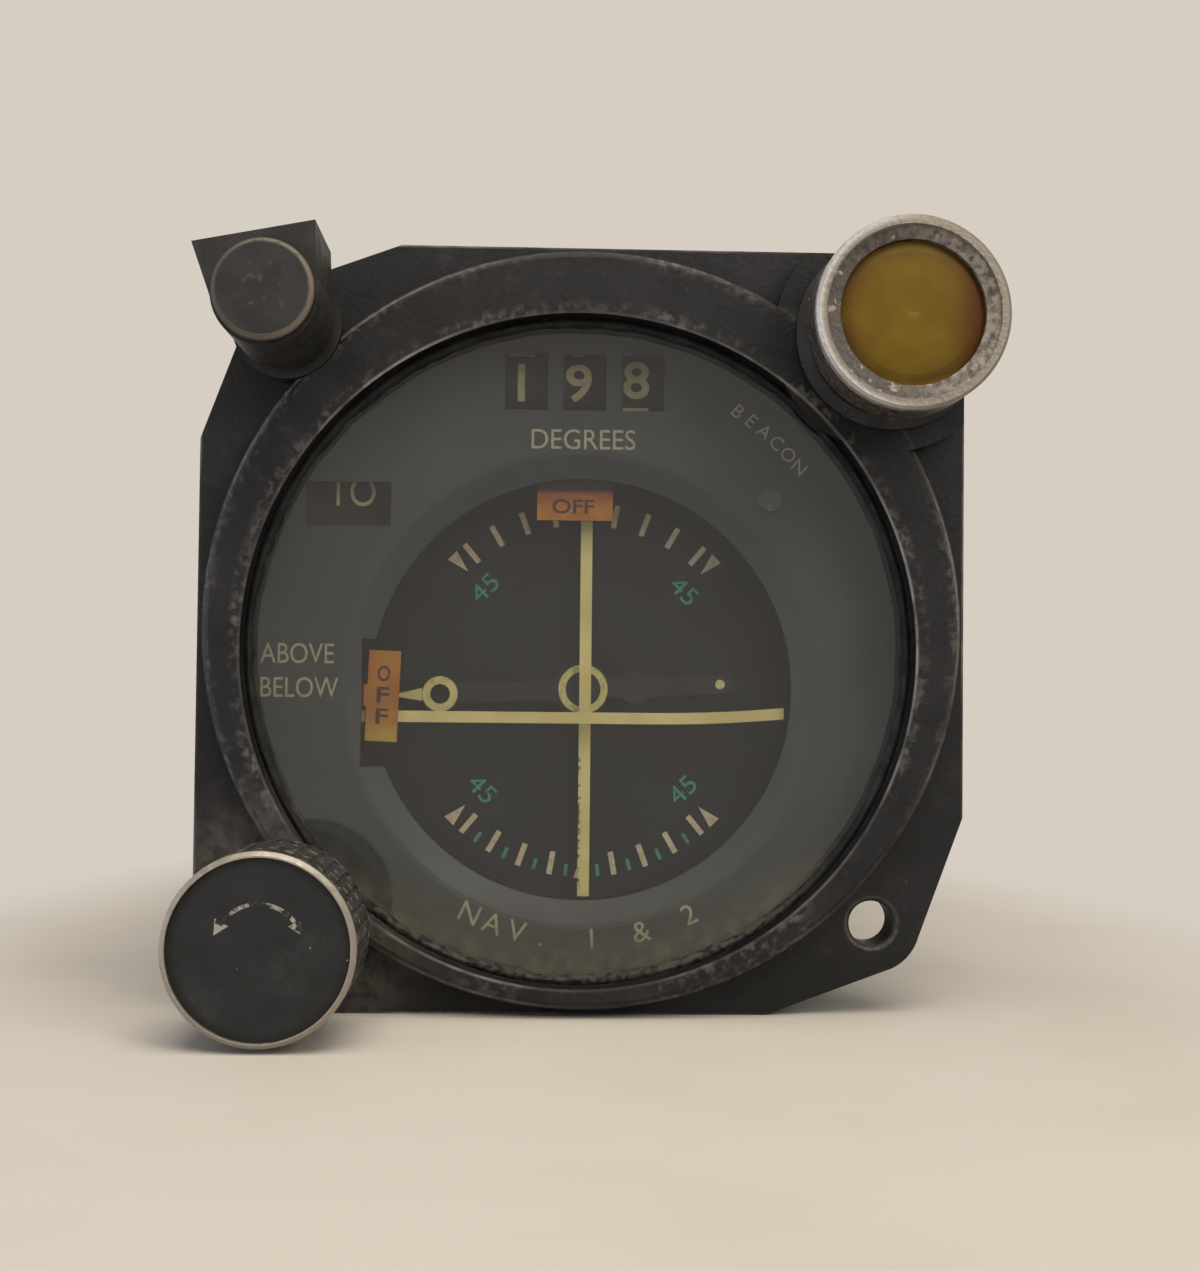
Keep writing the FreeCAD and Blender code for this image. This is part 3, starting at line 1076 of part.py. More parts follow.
def build():
    nodes = {
        "bezel_casting": bezel_casting(),
        "case_can": case_can(),
        "gear_lobe_cover": lobe_cover(),
        "rear_cover": rear_cover(),
        "rear_cover_screws": Part.makeCompound(
            [screw(x, z, CASE_LENGTH + COVER_T, COVER_T + COVER_LIP + 4, 1) for x, z in POSTS]),
        "window_glass": window_glass(),
        "sealing_bead": sealing_bead(),
        "dial_mask": dial_mask(),
        "mask_post": mask_post(),
        "mask_screw": mask_screw(),
        "centre_dial": centre_dial(),
        "front_plate": front_plate(),
        "mid_plate": mid_plate(),
        "centre_plate": centre_plate(),
        "rear_plate": rear_plate(),
        "frame_posts": frame_posts(),
        "post_screws": Part.makeCompound([screw(x, z, PLATE_Y, PLATE_T + POST_SCREW_REACH, -1) for x, z in POSTS]),
        "plate_screws": Part.makeCompound(
            [screw(x, z, PLATE_BACK_Y, PLATE_T + POST_SCREW_REACH, 1, SMALL_HEAD_R) for x, z in BOSSES]),
        "knob_gear": knob_gear(),
        "idler_gear": idler_gear(),
        "course_gear": course_gear(),
        "heading_synchro": heading_synchro(),
        "course_resolver": course_resolver(),
        "heading_pointer": heading_pointer(),
        "takeoff_gear": takeoff_gear(),
        "transfer_gear": transfer_gear(),
        "contrate_gear": contrate_gear(),
        "counter_shaft": units_pinion(),
        "hundreds_drum": drum(-DIGIT_PITCH, False),
        "tens_drum": drum(0, False),
        "units_drum": drum(DIGIT_PITCH, True),
        "counter_frame": counter_frame(),
        "carry_pinions": carry_pinions(),
        "course_meter": meter_housing(*COURSE_METER, REAR_PLATE_Y),
        "slope_meter": meter_housing(*SLOPE_METER, REAR_PLATE_Y),
        "top_flag_meter": meter_housing(*TOP_FLAG_METER, CENTRE_PLATE_Y),
        "side_flag_meter": meter_housing(*SIDE_FLAG_METER, CENTRE_PLATE_Y),
        "vane_meter": meter_housing(*VANE_METER, MID_PLATE_Y + PLATE_T),
        "course_needle": course_needle(),
        "slope_needle": slope_needle(),
        "top_flag": top_flag(),
        "side_flag": side_flag(),
        "word_vane": word_vane(),
        "knob_shell": knob_shell(),
        "knob_disc": knob_disc(),
        "knob_set_screw": knob_set_screw(),
        "knob_shaft": knob_shaft(),
        "knob_bushing": knob_bushing(),
        "lamp_body": lamp_body(),
        "lamp_cap": lamp_cap(),
        "lamp_lens": lamp_lens(),
        "lamp_bulb": lamp_bulb(),
        "light_base": light_base(),
        "light_hood": light_hood(),
        "light_cap": light_cap(),
        "light_bulb": light_bulb(),
        "connector_shell": connector_shell(),
        "connector_insert": connector_insert(),
        "connector_screws": Part.makeCompound(
            [screw(x, z, CASE_LENGTH + COVER_T + CONNECTOR_BASE_T, CONNECTOR_BASE_T, 1)
             for x, z in connector_corners()]),
    }
    return nodes


os.makedirs("parts", exist_ok=True)
for name, shape in build().items():
    shape.exportStep("parts/" + name + ".step")
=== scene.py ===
import bpy
from math import atan2, cos, radians, sin
from mathutils import Matrix, Vector, noise


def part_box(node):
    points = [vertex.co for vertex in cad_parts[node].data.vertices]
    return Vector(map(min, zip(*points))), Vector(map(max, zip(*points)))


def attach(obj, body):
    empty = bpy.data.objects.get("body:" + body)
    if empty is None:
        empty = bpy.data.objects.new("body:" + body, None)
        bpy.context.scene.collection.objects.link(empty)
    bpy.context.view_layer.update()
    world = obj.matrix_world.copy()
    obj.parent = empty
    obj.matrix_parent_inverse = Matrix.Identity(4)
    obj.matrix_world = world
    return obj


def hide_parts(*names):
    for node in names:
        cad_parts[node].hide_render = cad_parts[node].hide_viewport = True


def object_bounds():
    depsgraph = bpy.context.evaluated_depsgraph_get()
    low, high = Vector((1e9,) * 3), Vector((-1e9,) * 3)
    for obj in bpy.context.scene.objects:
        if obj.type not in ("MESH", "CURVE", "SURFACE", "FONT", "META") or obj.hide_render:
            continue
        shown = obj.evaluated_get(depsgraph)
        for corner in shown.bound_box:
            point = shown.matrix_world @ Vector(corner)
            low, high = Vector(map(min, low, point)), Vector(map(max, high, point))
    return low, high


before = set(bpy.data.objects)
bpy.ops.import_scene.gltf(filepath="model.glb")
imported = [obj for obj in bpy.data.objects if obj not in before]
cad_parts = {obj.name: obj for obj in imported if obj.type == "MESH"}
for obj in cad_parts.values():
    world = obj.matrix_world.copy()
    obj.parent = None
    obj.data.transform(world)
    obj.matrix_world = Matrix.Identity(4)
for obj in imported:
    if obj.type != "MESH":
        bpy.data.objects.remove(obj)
cad_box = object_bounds()

# The casting is one aluminium die casting: square flange, round ring and the boss of the lamp. Its
# black wrinkle enamel is rubbed to a dusty grey at the edges and at the rim of the hole, and filmed
# with brown dirt round the knob, where fingers reach. Round the foot of the lamp it is darker with
# painted shade, and it is darker along the bottom of the flange.
MM = 0.001
RING_FRONT = -8.5 * MM
FLANGE_FRONT = -5.0 * MM
FLANGE_HALF = 41.27 * MM
WINDOW_X = -0.4 * MM
WINDOW_Z = -2.3 * MM
KNOB_X = -30.93 * MM
KNOB_Z = -31.43 * MM
LAMP_X = 32.4 * MM
LAMP_Z = 31.6 * MM
HOLE_AT = 31.43 * MM


def colour(code):
    """One sRGB hex colour as the linear colour that a shader wants."""
    parts = [int(code[i : i + 2], 16) / 255 for i in (1, 3, 5)]
    return [p / 12.92 if p < 0.04045 else ((p + 0.055) / 1.055) ** 2.4 for p in parts] + [1.0]


def material_named(name, values):
    """A material whose plain values sit on the shader's own sockets."""
    made = bpy.data.materials.new(name)
    made.use_nodes = True
    for socket, value in values.items():
        made.node_tree.nodes["Principled BSDF"].inputs[socket].default_value = value
    return made


def add(material, kind, sockets=None, output=0, **settings):
    """Adds a node, gives each socket a value or another node's output, and gives back one output."""
    made = material.node_tree.nodes.new("ShaderNode" + kind)
    for name, value in settings.items():
        setattr(made, name, value)
    for name, value in (sockets or {}).items():
        if isinstance(value, bpy.types.NodeSocket):
            material.node_tree.links.new(value, made.inputs[name])
        else:
            made.inputs[name].default_value = value
    return made.outputs[output]


def feed(material, socket, value):
    """Links an output to one socket of the material's shader."""
    material.node_tree.links.new(value, material.node_tree.nodes["Principled BSDF"].inputs[socket])


def patches(material, size, low, high, least=0.0, most=1.0, stretch=(1, 1, 1)):
    """Uneven patches about size across, from least to most. Lower low and high give more of most."""
    where = add(
        material,
        "Mapping",
        {"Vector": add(material, "TexCoord", output="Object"), "Scale": stretch},
    )
    noise = add(material, "TexNoise", {"Vector": where, "Scale": 1 / size, "Detail": 4.0})
    ends = {"Value": noise, "From Min": low, "From Max": high, "To Min": least, "To Max": most}
    return add(material, "MapRange", ends, interpolation_type="SMOOTHSTEP")


def specks(material, pitch, size):
    """Round specks of about that size, one in each cell of the pitch."""
    where = add(material, "TexCoord", output="Object")
    gap = add(material, "TexVoronoi", {"Vector": where, "Scale": 1 / pitch}, "Distance")
    ends = {
        "Value": gap,
        "From Min": size / pitch * 0.35,
        "From Max": size / pitch * 0.6,
        "To Min": 1.0,
        "To Max": 0.0,
    }
    return add(material, "MapRange", ends)


def from_axis(material, x, z):
    """Distance from the line along Y through x and z."""
    moved = add(
        material,
        "Mapping",
        {"Vector": add(material, "TexCoord", output="Object"), "Location": (-x, 0, -z)},
    )
    flat = add(material, "VectorMath", {0: moved, 1: (1, 0, 1)}, operation="MULTIPLY")
    return add(material, "VectorMath", {0: flat}, "Value", operation="LENGTH")


def along(material, axis):
    """The surface point's own X, Y or Z."""
    return add(material, "SeparateXYZ", {0: add(material, "TexCoord", output="Object")}, axis)


def at(material, value, target, reach):
    """1 where value is target, falling to 0 as it gets reach away."""
    gap = add(material, "Math", {0: value, 1: target}, operation="SUBTRACT")
    gap = add(material, "Math", {0: gap}, operation="ABSOLUTE")
    ends = {"Value": gap, "From Min": 0.0, "From Max": reach, "To Min": 1.0, "To Max": 0.0}
    return add(material, "MapRange", ends, interpolation_type="SMOOTHSTEP")


def step(material, value, start, end):
    """0 where value is start and 1 where it is end, and it may fall as well as rise."""
    low, high = sorted((start, end))
    ends = {"Value": value, "From Min": low, "From Max": high}
    ends.update({"To Min": float(start > end), "To Max": float(start < end)})
    return add(material, "MapRange", ends, interpolation_type="SMOOTHSTEP")


def both(material, first, *others):
    """The masks together: 1 only where all of them are."""
    for other in others:
        first = add(material, "Math", {0: first, 1: other}, operation="MULTIPLY")
    return first


def either(material, first, *others):
    """The largest of the masks."""
    for other in others:
        first = add(material, "Math", {0: first, 1: other}, operation="MAXIMUM")
    return first


def coats(material, ground, *layers):
    """Lays colours over a ground, each where its own mask is 1, and gives the outcome to the shader."""
    made = colour(ground)
    for mask, code in layers:
        made = add(material, "Mix", {0: mask, 6: made, 7: colour(code)}, 2, data_type="RGBA")
    feed(material, "Base Color", made)


def rough(material, size, least, most):
    """Roughness that drifts between two values over patches of that size."""
    feed(material, "Roughness", patches(material, size, 0.3, 0.7, least, most))


def bumps(material, size, depth, stretch=(1, 1, 1)):
    """A fine relief of about that depth, in grains of that size."""
    heights = patches(material, size, 0.0, 1.0, stretch=stretch)
    feed(material, "Normal", add(material, "Bump", {"Height": heights, "Distance": depth, "Strength": 0.6}))


def dress(material, slot, *nodes):
    """Gives CAD nodes their material. The slot is not used."""
    for name in nodes:
        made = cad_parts[name]
        made.data.materials.clear()
        made.data.materials.append(material)


enamel = material_named("black_wrinkle_enamel_worn", {"Specular IOR Level": 0.3})
depth = along(enamel, "Y")
sideways = add(enamel, "Math", {0: along(enamel, "X")}, operation="ABSOLUTE")
upwards = add(enamel, "Math", {0: along(enamel, "Z")}, operation="ABSOLUTE")
ring_edge = both(
    enamel,
    at(enamel, from_axis(enamel, 0, 0), 40.1 * MM, 0.35 * MM),
    at(enamel, depth, -8.2 * MM, 0.6 * MM),
)
window_edge = both(
    enamel,
    at(enamel, from_axis(enamel, WINDOW_X, WINDOW_Z), 35.9 * MM, 0.3 * MM),
    at(enamel, depth, RING_FRONT, 0.3 * MM),
)
square_edge = either(
    enamel,
    at(enamel, sideways, FLANGE_HALF, 0.3 * MM),
    at(enamel, upwards, FLANGE_HALF, 0.3 * MM),
)
square_edge = both(enamel, square_edge, at(enamel, depth, FLANGE_FRONT, 0.3 * MM))
rubbed = both(
    enamel,
    patches(enamel, 2.6 * MM, 0.28, 0.62, 0.3, 1.0),
    patches(enamel, 24 * MM, 0.42, 0.62, 0.12, 0.85),
)
dusty_edge = both(
    enamel,
    either(
        enamel,
        both(
            enamel,
            at(enamel, from_axis(enamel, 0, 0), 40.0 * MM, 1.5 * MM),
            at(enamel, depth, -8.2 * MM, 1.5 * MM),
        ),
        both(
            enamel,
            at(enamel, from_axis(enamel, WINDOW_X, WINDOW_Z), 36.4 * MM, 1.2 * MM),
            at(enamel, depth, RING_FRONT, 0.4 * MM),
        ),
    ),
    patches(enamel, 0.9 * MM, 0.44, 0.68),
    patches(enamel, 15 * MM, 0.42, 0.60, 0.1, 1.0),
)
# Painted shade round the foot of the lamp, and darker along the bottom of the flange.
shade_round_lamp_and_dark_bottom = either(
    enamel,
    step(enamel, from_axis(enamel, LAMP_X, LAMP_Z), 15 * MM, 11 * MM),
    both(
        enamel,
        step(enamel, along(enamel, "Z"), -30 * MM, -39 * MM),
        step(enamel, depth, -6.5 * MM, -5.5 * MM),
    ),
)
hole_rim = both(
    enamel,
    step(enamel, from_axis(enamel, HOLE_AT, -HOLE_AT), 3.1 * MM, 2.7 * MM),
    at(enamel, depth, FLANGE_FRONT, 0.5 * MM),
    patches(enamel, 0.8 * MM, 0.30, 0.55, 0.4, 1.0),
)
film = both(
    enamel,
    step(enamel, from_axis(enamel, KNOB_X, KNOB_Z), 17.5 * MM, 9.5 * MM),
    patches(enamel, 1.1 * MM, 0.25, 0.70, 0.25, 0.9),
)
coats(
    enamel,
    "#0d0d0f",
    (patches(enamel, 9 * MM, 0.35, 0.68), "#171618"),
    (both(enamel, patches(enamel, 1.6 * MM, 0.50, 0.74), patches(enamel, 20 * MM, 0.40, 0.62)), "#232123"),
    (both(enamel, shade_round_lamp_and_dark_bottom, patches(enamel, 3 * MM, 0.2, 0.5, 0.6, 1.0)), "#080809"),
    (film, "#47413a"),
    (both(enamel, specks(enamel, 2.6 * MM, 0.24 * MM), patches(enamel, 6 * MM, 0.52, 0.62)), "#55524d"),
    (dusty_edge, "#4f4c47"),
    (hole_rim, "#55524c"),
    (both(enamel, either(enamel, ring_edge, window_edge, square_edge), rubbed), "#827d76"),
)
rough(enamel, 5 * MM, 0.40, 0.62)
bumps(enamel, 0.55 * MM, 0.06 * MM)
dress(enamel, "black_casting", "bezel_casting")

# The window is a flat disc of plate glass, set in from the front, with a thin film of dust along its
# lower edge. The bead of black sealant that holds it has aged: it is matt and ragged along its
# inner edge, with grey-brown dust caught in it at the bottom.
GLASS_R = 35.65 * MM
BEAD_R = 0.55 * MM
BEAD_BACK = -6.4 * MM
BEAD_RISE = 0.7 * MM

glass = material_named("plate_glass", {"Roughness": 0.01, "IOR": 1.45, "Transmission Weight": 1.0})
see_through = add(glass, "BsdfTransparent", {"Color": (0.90, 0.92, 0.91, 1.0)})
solid_glass = glass.node_tree.nodes["Principled BSDF"].outputs[0]
dust = add(glass, "BsdfDiffuse", {"Color": colour("#5a564b")})
dust_edge = step(glass, from_axis(glass, WINDOW_X, WINDOW_Z), 29.5 * MM, 34.2 * MM)
dust_low = step(glass, along(glass, "Z"), -19 * MM, -31 * MM)
dusted = both(
    glass,
    dust_edge,
    dust_low,
    patches(glass, 2.2 * MM, 0.30, 0.70, 0.25, 0.85),
    step(glass, along(glass, "Y"), -6.0 * MM, -6.3 * MM),
)
soiled = add(glass, "MixShader", {0: dusted, 1: solid_glass, 2: dust})
chosen = add(
    glass,
    "MixShader",
    {0: add(glass, "LightPath", output="Is Shadow Ray"), 1: soiled, 2: see_through},
)
glass.node_tree.links.new(chosen, glass.node_tree.nodes["Material Output"].inputs[0])
dress(glass, "glass", "window_glass")

sealant = material_named("aged_black_sealant", {"Specular IOR Level": 0.25})
dusty = both(
    sealant,
    step(sealant, along(sealant, "Z"), -24 * MM, -33 * MM),
    patches(sealant, 0.8 * MM, 0.40, 0.56),
)
coats(
    sealant,
    "#0d0d0d",
    (patches(sealant, 2.5 * MM, 0.45, 0.62), "#1b1a19"),
    (dusty, "#3a3630"),
    (patches(sealant, 0.5 * MM, 0.68, 0.76), "#38352f"),
)
rough(sealant, 1.5 * MM, 0.55, 0.85)
bumps(sealant, 0.6 * MM, 0.12 * MM)


def ragged(turn, pitch, seed):
    """A value from -1 to 1 that wanders round the bead, with one swing in about that pitch."""
    reach = GLASS_R / pitch
    return noise.noise(Vector((reach * cos(turn), reach * sin(turn), seed)))


def settle(made, name, material, body):
    """Puts a finished piece's place into its mesh, smooths it, and gives it its material and body."""
    bpy.ops.object.select_all(action="DESELECT")
    made.select_set(True)
    bpy.context.view_layer.objects.active = made
    bpy.ops.object.transform_apply(location=True, rotation=True, scale=True)
    bpy.ops.object.shade_smooth_by_angle(angle=radians(35))
    made.name = name
    made.data.materials.clear()
    made.data.materials.append(material)
    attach(made, body)
    return made


bpy.ops.object.select_all(action="DESELECT")
bpy.ops.mesh.primitive_torus_add(
    major_radius=GLASS_R - BEAD_R, minor_radius=BEAD_R, major_segments=300, minor_segments=12
)
bead = bpy.context.object
for vertex in bead.data.vertices:
    turn = atan2(vertex.co.y, vertex.co.x)
    out = vertex.co.xy.length - (GLASS_R - BEAD_R)
    left = max(0.0, -cos(turn))
    torn = 0.30 * ragged(turn, 3.5 * MM, 0.3) + (0.15 + 0.35 * left) * ragged(turn, 0.9 * MM, 4.1)
    if out < 0:
        out *= 1 + 1.6 * torn
    rise = max(0.0, vertex.co.z) * BEAD_RISE / BEAD_R * (1 + 0.4 * ragged(turn, 1.2 * MM, 8.7))
    vertex.co = (
        (GLASS_R - BEAD_R + out) * cos(turn),
        (GLASS_R - BEAD_R + out) * sin(turn),
        min(rise, 0.9 * MM),
    )
bead.rotation_euler = (radians(90), 0, 0)
bead.location = (WINDOW_X, BEAD_BACK, WINDOW_Z)
settle(bead, "sealant_bead", sealant, "case")
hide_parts("sealing_bead")

# The mask is a pressed aluminium plate in matt dark grey lacquer, with a sloped lip round the middle
# dial. Its legends, all of them generic words, are filled with pale green-white paint.
MASK_FRONT = -1.4 * MM
DIAL_Z = -6.5 * MM
INK_T = 0.02 * MM

grey = material_named("matt_grey_lacquer", {"Specular IOR Level": 0.3})
coats(
    grey,
    "#252827",
    (patches(grey, 16 * MM, 0.35, 0.70), "#2c2f2e"),
    (patches(grey, 0.3 * MM, 0.62, 0.80), "#303332"),
    (both(grey, specks(grey, 3.4 * MM, 0.16 * MM), patches(grey, 8 * MM, 0.55, 0.62)), "#8d8b80"),
)
rough(grey, 6 * MM, 0.50, 0.66)
bumps(grey, 0.25 * MM, 0.006 * MM)
dress(grey, "grey_mask", "dial_mask")

fill = material_named("pale_legend_paint", {"Specular IOR Level": 0.3})
coats(
    fill,
    "#83836a",
    (patches(fill, 0.7 * MM, 0.50, 0.66), "#74745b"),
    (patches(fill, 0.25 * MM, 0.66, 0.76), "#5a5b48"),
)
rough(fill, 1 * MM, 0.55, 0.75)


def lettering(words, high, x, y, z, turn=0.0, wide=None, bold=0.0):
    """Flat raised letters whose middle is at x and z, facing the front, turned clockwise by turn degrees."""
    bpy.ops.object.select_all(action="DESELECT")
    bpy.ops.object.text_add(location=(0, 0, 0))
    made = bpy.context.object
    made.data.body = words
    made.data.offset = bold
    bpy.ops.object.convert(target="MESH")
    made = bpy.context.object
    corners = [vertex.co for vertex in made.data.vertices]
    left, right = min(c.x for c in corners), max(c.x for c in corners)
    low, top = min(c.y for c in corners), max(c.y for c in corners)
    tall = high / (top - low)
    across = wide / (right - left) if wide else tall
    for corner in corners:
        corner.x = (corner.x - (left + right) / 2) * across
        corner.y = (corner.y - (low + top) / 2) * tall
    bpy.ops.object.mode_set(mode="EDIT")
    bpy.ops.mesh.select_all(action="SELECT")
    bpy.ops.mesh.remove_doubles(threshold=0.002 * MM)
    bpy.ops.mesh.extrude_region_move(TRANSFORM_OT_translate={"value": (0, 0, INK_T)})
    bpy.ops.mesh.select_all(action="SELECT")
    bpy.ops.mesh.normals_make_consistent(inside=False)
    bpy.ops.object.mode_set(mode="OBJECT")
    made.rotation_euler = (radians(90), radians(turn), 0)
    made.location = (x, y, z)
    return made


def joined(pieces):
    """The pieces as one mesh, each with its place put into it first."""
    bpy.ops.object.select_all(action="DESELECT")
    for piece in pieces:
        piece.select_set(True)
    bpy.context.view_layer.objects.active = pieces[0]
    bpy.ops.object.transform_apply(location=True, rotation=True, scale=True)
    if len(pieces) > 1:
        bpy.ops.object.join()
    return bpy.context.object


LEGEND_H = 2.2 * MM
ARC_R = 27.2 * MM
ARC_WORDS = "NAV. 1 & 2"
ARC_REACH = 26.0
ARC_STOP_H = 0.35 * MM
BEACON_R = 30.8 * MM
BEACON_TURN = 41.8
BEACON_STEP = 3.4
BEACON_H = 1.5 * MM
BEACON_Z = -1.5 * MM
legends = [
    lettering("DEGREES", LEGEND_H, -0.1 * MM, MASK_FRONT, 20.9 * MM, wide=11.4 * MM),
    lettering("ABOVE", LEGEND_H, -31.0 * MM, MASK_FRONT, -2.9 * MM, wide=8.0 * MM),
    lettering("BELOW", LEGEND_H, -30.7 * MM, MASK_FRONT, -6.6 * MM, wide=8.4 * MM),
]
for index, letter in enumerate("BEACON"):
    turn = radians(BEACON_TURN + BEACON_STEP * (index - 2.5))
    place = (BEACON_R * sin(turn), MASK_FRONT, BEACON_Z + BEACON_R * cos(turn))
    legends.append(lettering(letter, BEACON_H, *place, 42))
for index, letter in enumerate(ARC_WORDS):
    if letter == " ":
        continue
    turn = ARC_REACH * (2 * index / (len(ARC_WORDS) - 1) - 1)
    drop = 0.9 * MM if letter == "." else 0.0
    reach = ARC_R + drop
    high = ARC_STOP_H if letter == "." else LEGEND_H
    place = (reach * sin(radians(turn)), MASK_FRONT, DIAL_Z - reach * cos(radians(turn)))
    legends.append(lettering(letter, high, *place, -turn))
settle(joined(legends), "mask_legends", fill, "case")

# Behind the mask lies the middle dial, a black anodised disc with printed marks: cream ticks and
# triangles that show how far the course bar is off, and green numbers for the heading pointer.
DIAL_FRONT = 5.5 * MM
TICK_R = 19.9 * MM
TICK_L = 2.6 * MM
TICK_W = 0.62 * MM
PRINT_X = 0.35 * MM
NUMBER_R = 16.0 * MM

anodised = material_named("black_anodised_disc", {"Specular IOR Level": 0.2})
coats(
    anodised,
    "#060809",
    (patches(anodised, 7 * MM, 0.4, 0.7), "#0a0e10"),
    (specks(anodised, 4 * MM, 0.14 * MM), "#2c2f2e"),
)
rough(anodised, 4 * MM, 0.42, 0.58)
dress(anodised, "black_dial", "centre_dial")

cream = material_named("cream_print", {"Specular IOR Level": 0.3})
coats(
    cream,
    "#a2967c",
    (patches(cream, 0.8 * MM, 0.45, 0.65), "#948766"),
    (patches(cream, 0.3 * MM, 0.68, 0.76), "#6b6450"),
)
rough(cream, 1 * MM, 0.55, 0.7)
green = material_named("green_print", {"Specular IOR Level": 0.3})
coats(green, "#2a6f5d", (patches(green, 0.6 * MM, 0.5, 0.7), "#1d5244"))
rough(green, 1 * MM, 0.55, 0.7)


def flat_shape(points, x, y, z, turn=0.0):
    """A thin flat shape with its corners at the points, facing the front, turned clockwise."""
    bpy.ops.object.select_all(action="DESELECT")
    bpy.ops.mesh.primitive_circle_add(vertices=len(points), radius=1, fill_type="NGON")
    made = bpy.context.object
    for vertex, (across, up) in zip(made.data.vertices, points):
        vertex.co = (across, up, 0)
    bpy.ops.object.mode_set(mode="EDIT")
    bpy.ops.mesh.select_all(action="SELECT")
    bpy.ops.mesh.extrude_region_move(TRANSFORM_OT_translate={"value": (0, 0, INK_T)})
    bpy.ops.mesh.select_all(action="SELECT")
    bpy.ops.mesh.normals_make_consistent(inside=False)
    bpy.ops.object.mode_set(mode="OBJECT")
    made.rotation_euler = (radians(90), radians(turn), 0)
    made.location = (x, y, z)
    return made


def on_dial(turn, reach):
    """The place on the dial that far from its middle, turn degrees clockwise from the top."""
    return PRINT_X + reach * sin(radians(turn)), DIAL_FRONT, DIAL_Z + reach * cos(radians(turn))


def bar(wide, long):
    """The four corners of an upright bar about its own middle."""
    return [(-wide / 2, -long / 2), (wide / 2, -long / 2), (wide / 2, long / 2), (-wide / 2, long / 2)]


marks = []
for turn in [side + step_turn for side in (0, 180) for step_turn in (-40, -30, -20, -10, 10, 20, 30, 40)]:
    marks.append(flat_shape(bar(TICK_W, TICK_L), *on_dial(turn, TICK_R), turn))
for turn in (-45, 45, 135, 225):
    arrow = [(0, -1.3 * MM), (0.72 * MM, 1.3 * MM), (-0.72 * MM, 1.3 * MM)]
    marks.append(flat_shape(arrow, *on_dial(turn, TICK_R), turn))
arrow = [(-0.9 * MM, -1.4 * MM), (0.9 * MM, -1.4 * MM), (0, 1.4 * MM)]
marks.append(flat_shape(arrow, *on_dial(180, TICK_R)))
settle(joined(marks), "dial_marks", cream, "case")

numbers = []
for turn in (-45, 45, 135, 225):
    lean = turn if abs(turn) < 90 else turn - 180
    numbers.append(lettering("45", 2.1 * MM, *on_dial(turn, NUMBER_R), lean, wide=3.2 * MM))
for turn in (145, 155, 165, 175, 185, 195, 205, 215):
    numbers.append(flat_shape(bar(0.4 * MM, 1.3 * MM), *on_dial(turn, TICK_R + 0.55 * MM), turn))
settle(joined(numbers), "dial_numbers", green, "case")

# The counter behind the upper windows has three black number drums on one shaft. Their figures are
# engraved and filled with cream paint, ten to a drum. The row shows 198, with the last drum turned
# a little way to its next figure.
SHOWN = {"hundreds_drum": 1, "tens_drum": 9, "units_drum": 8}
FIGURE_H = 4.3 * MM
FIGURE_SHIFT = 0.62 * MM
FIGURE_W = 2.9 * MM
DRUM_TURN = {"hundreds_drum": 2.4, "tens_drum": 2.4, "units_drum": 5.5}

drum_black = material_named("black_drum_lacquer", {"Specular IOR Level": 0.3})
coats(drum_black, "#101112", (patches(drum_black, 3 * MM, 0.4, 0.7), "#17191a"))
rough(drum_black, 2 * MM, 0.4, 0.55)
figure_paint = material_named("cream_figure_paint", {"Specular IOR Level": 0.3})
coats(figure_paint, "#ada37c", (patches(figure_paint, 0.8 * MM, 0.5, 0.7), "#9b916b"))
rough(figure_paint, 1 * MM, 0.5, 0.7)
dress(drum_black, "drum_black", "hundreds_drum", "tens_drum", "units_drum")

for node, body in (("hundreds_drum", "hundreds"), ("tens_drum", "tens"), ("units_drum", "units")):
    low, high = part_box(node)
    middle = (low + high) / 2
    drum_r = (high.z - low.z) / 2
    figures = []
    for step_count in range(10):
        value = (SHOWN[node] + step_count) % 10
        figure = lettering(
            str(value) if value != 1 else "I",
            FIGURE_H,
            -FIGURE_SHIFT,
            0,
            0,
            wide=FIGURE_W if value != 1 else 0.8 * MM,
            bold=0.018,
        )
        bpy.ops.object.mode_set(mode="EDIT")
        for cut in range(-4, 5):
            bpy.ops.mesh.select_all(action="SELECT")
            bpy.ops.mesh.bisect(plane_co=(0, 0, cut * FIGURE_H / 10), plane_no=(0, 0, 1))
        bpy.ops.object.mode_set(mode="OBJECT")
        bpy.ops.object.transform_apply(location=True, rotation=True, scale=True)
        lift = radians(36 * step_count + DRUM_TURN[node])
        for vertex in figure.data.vertices:
            turn = lift + vertex.co.z / drum_r
            reach = drum_r - vertex.co.y
            vertex.co = (middle.x + vertex.co.x, middle.y - reach * cos(turn), middle.z + reach * sin(turn))
        figures.append(figure)
    settle(joined(figures), node + "_figures", figure_paint, body)

# Two thin aluminium bars cross in front of the dial, each on the long arm of its own meter. Their
# faces are enamelled pale yellow, rubbed thin and chipped along one edge. Their arms are black.
BAR_BACK = 3.8 * MM

bar_enamel = material_named("pale_yellow_bar_enamel", {"Specular IOR Level": 0.35})
arm_side = step(bar_enamel, along(bar_enamel, "Y"), BAR_BACK, BAR_BACK + 0.1 * MM)
low_down = step(bar_enamel, along(bar_enamel, "Z"), -10 * MM, -16 * MM)
left_edge = step(bar_enamel, along(bar_enamel, "X"), 0.25 * MM, -0.1 * MM)
chips = both(bar_enamel, left_edge, low_down, patches(bar_enamel, 0.45 * MM, 0.50, 0.54))
coats(
    bar_enamel,
    "#aca067",
    (patches(bar_enamel, 5 * MM, 0.40, 0.66), "#a0935a"),
    (patches(bar_enamel, 0.35 * MM, 0.70, 0.78), "#736739"),
    (chips, "#3a3524"),
    (arm_side, "#17181a"),
)
rough(bar_enamel, 1 * MM, 0.45, 0.65)
dress(bar_enamel, "cream_bar", "course_needle", "slope_needle")
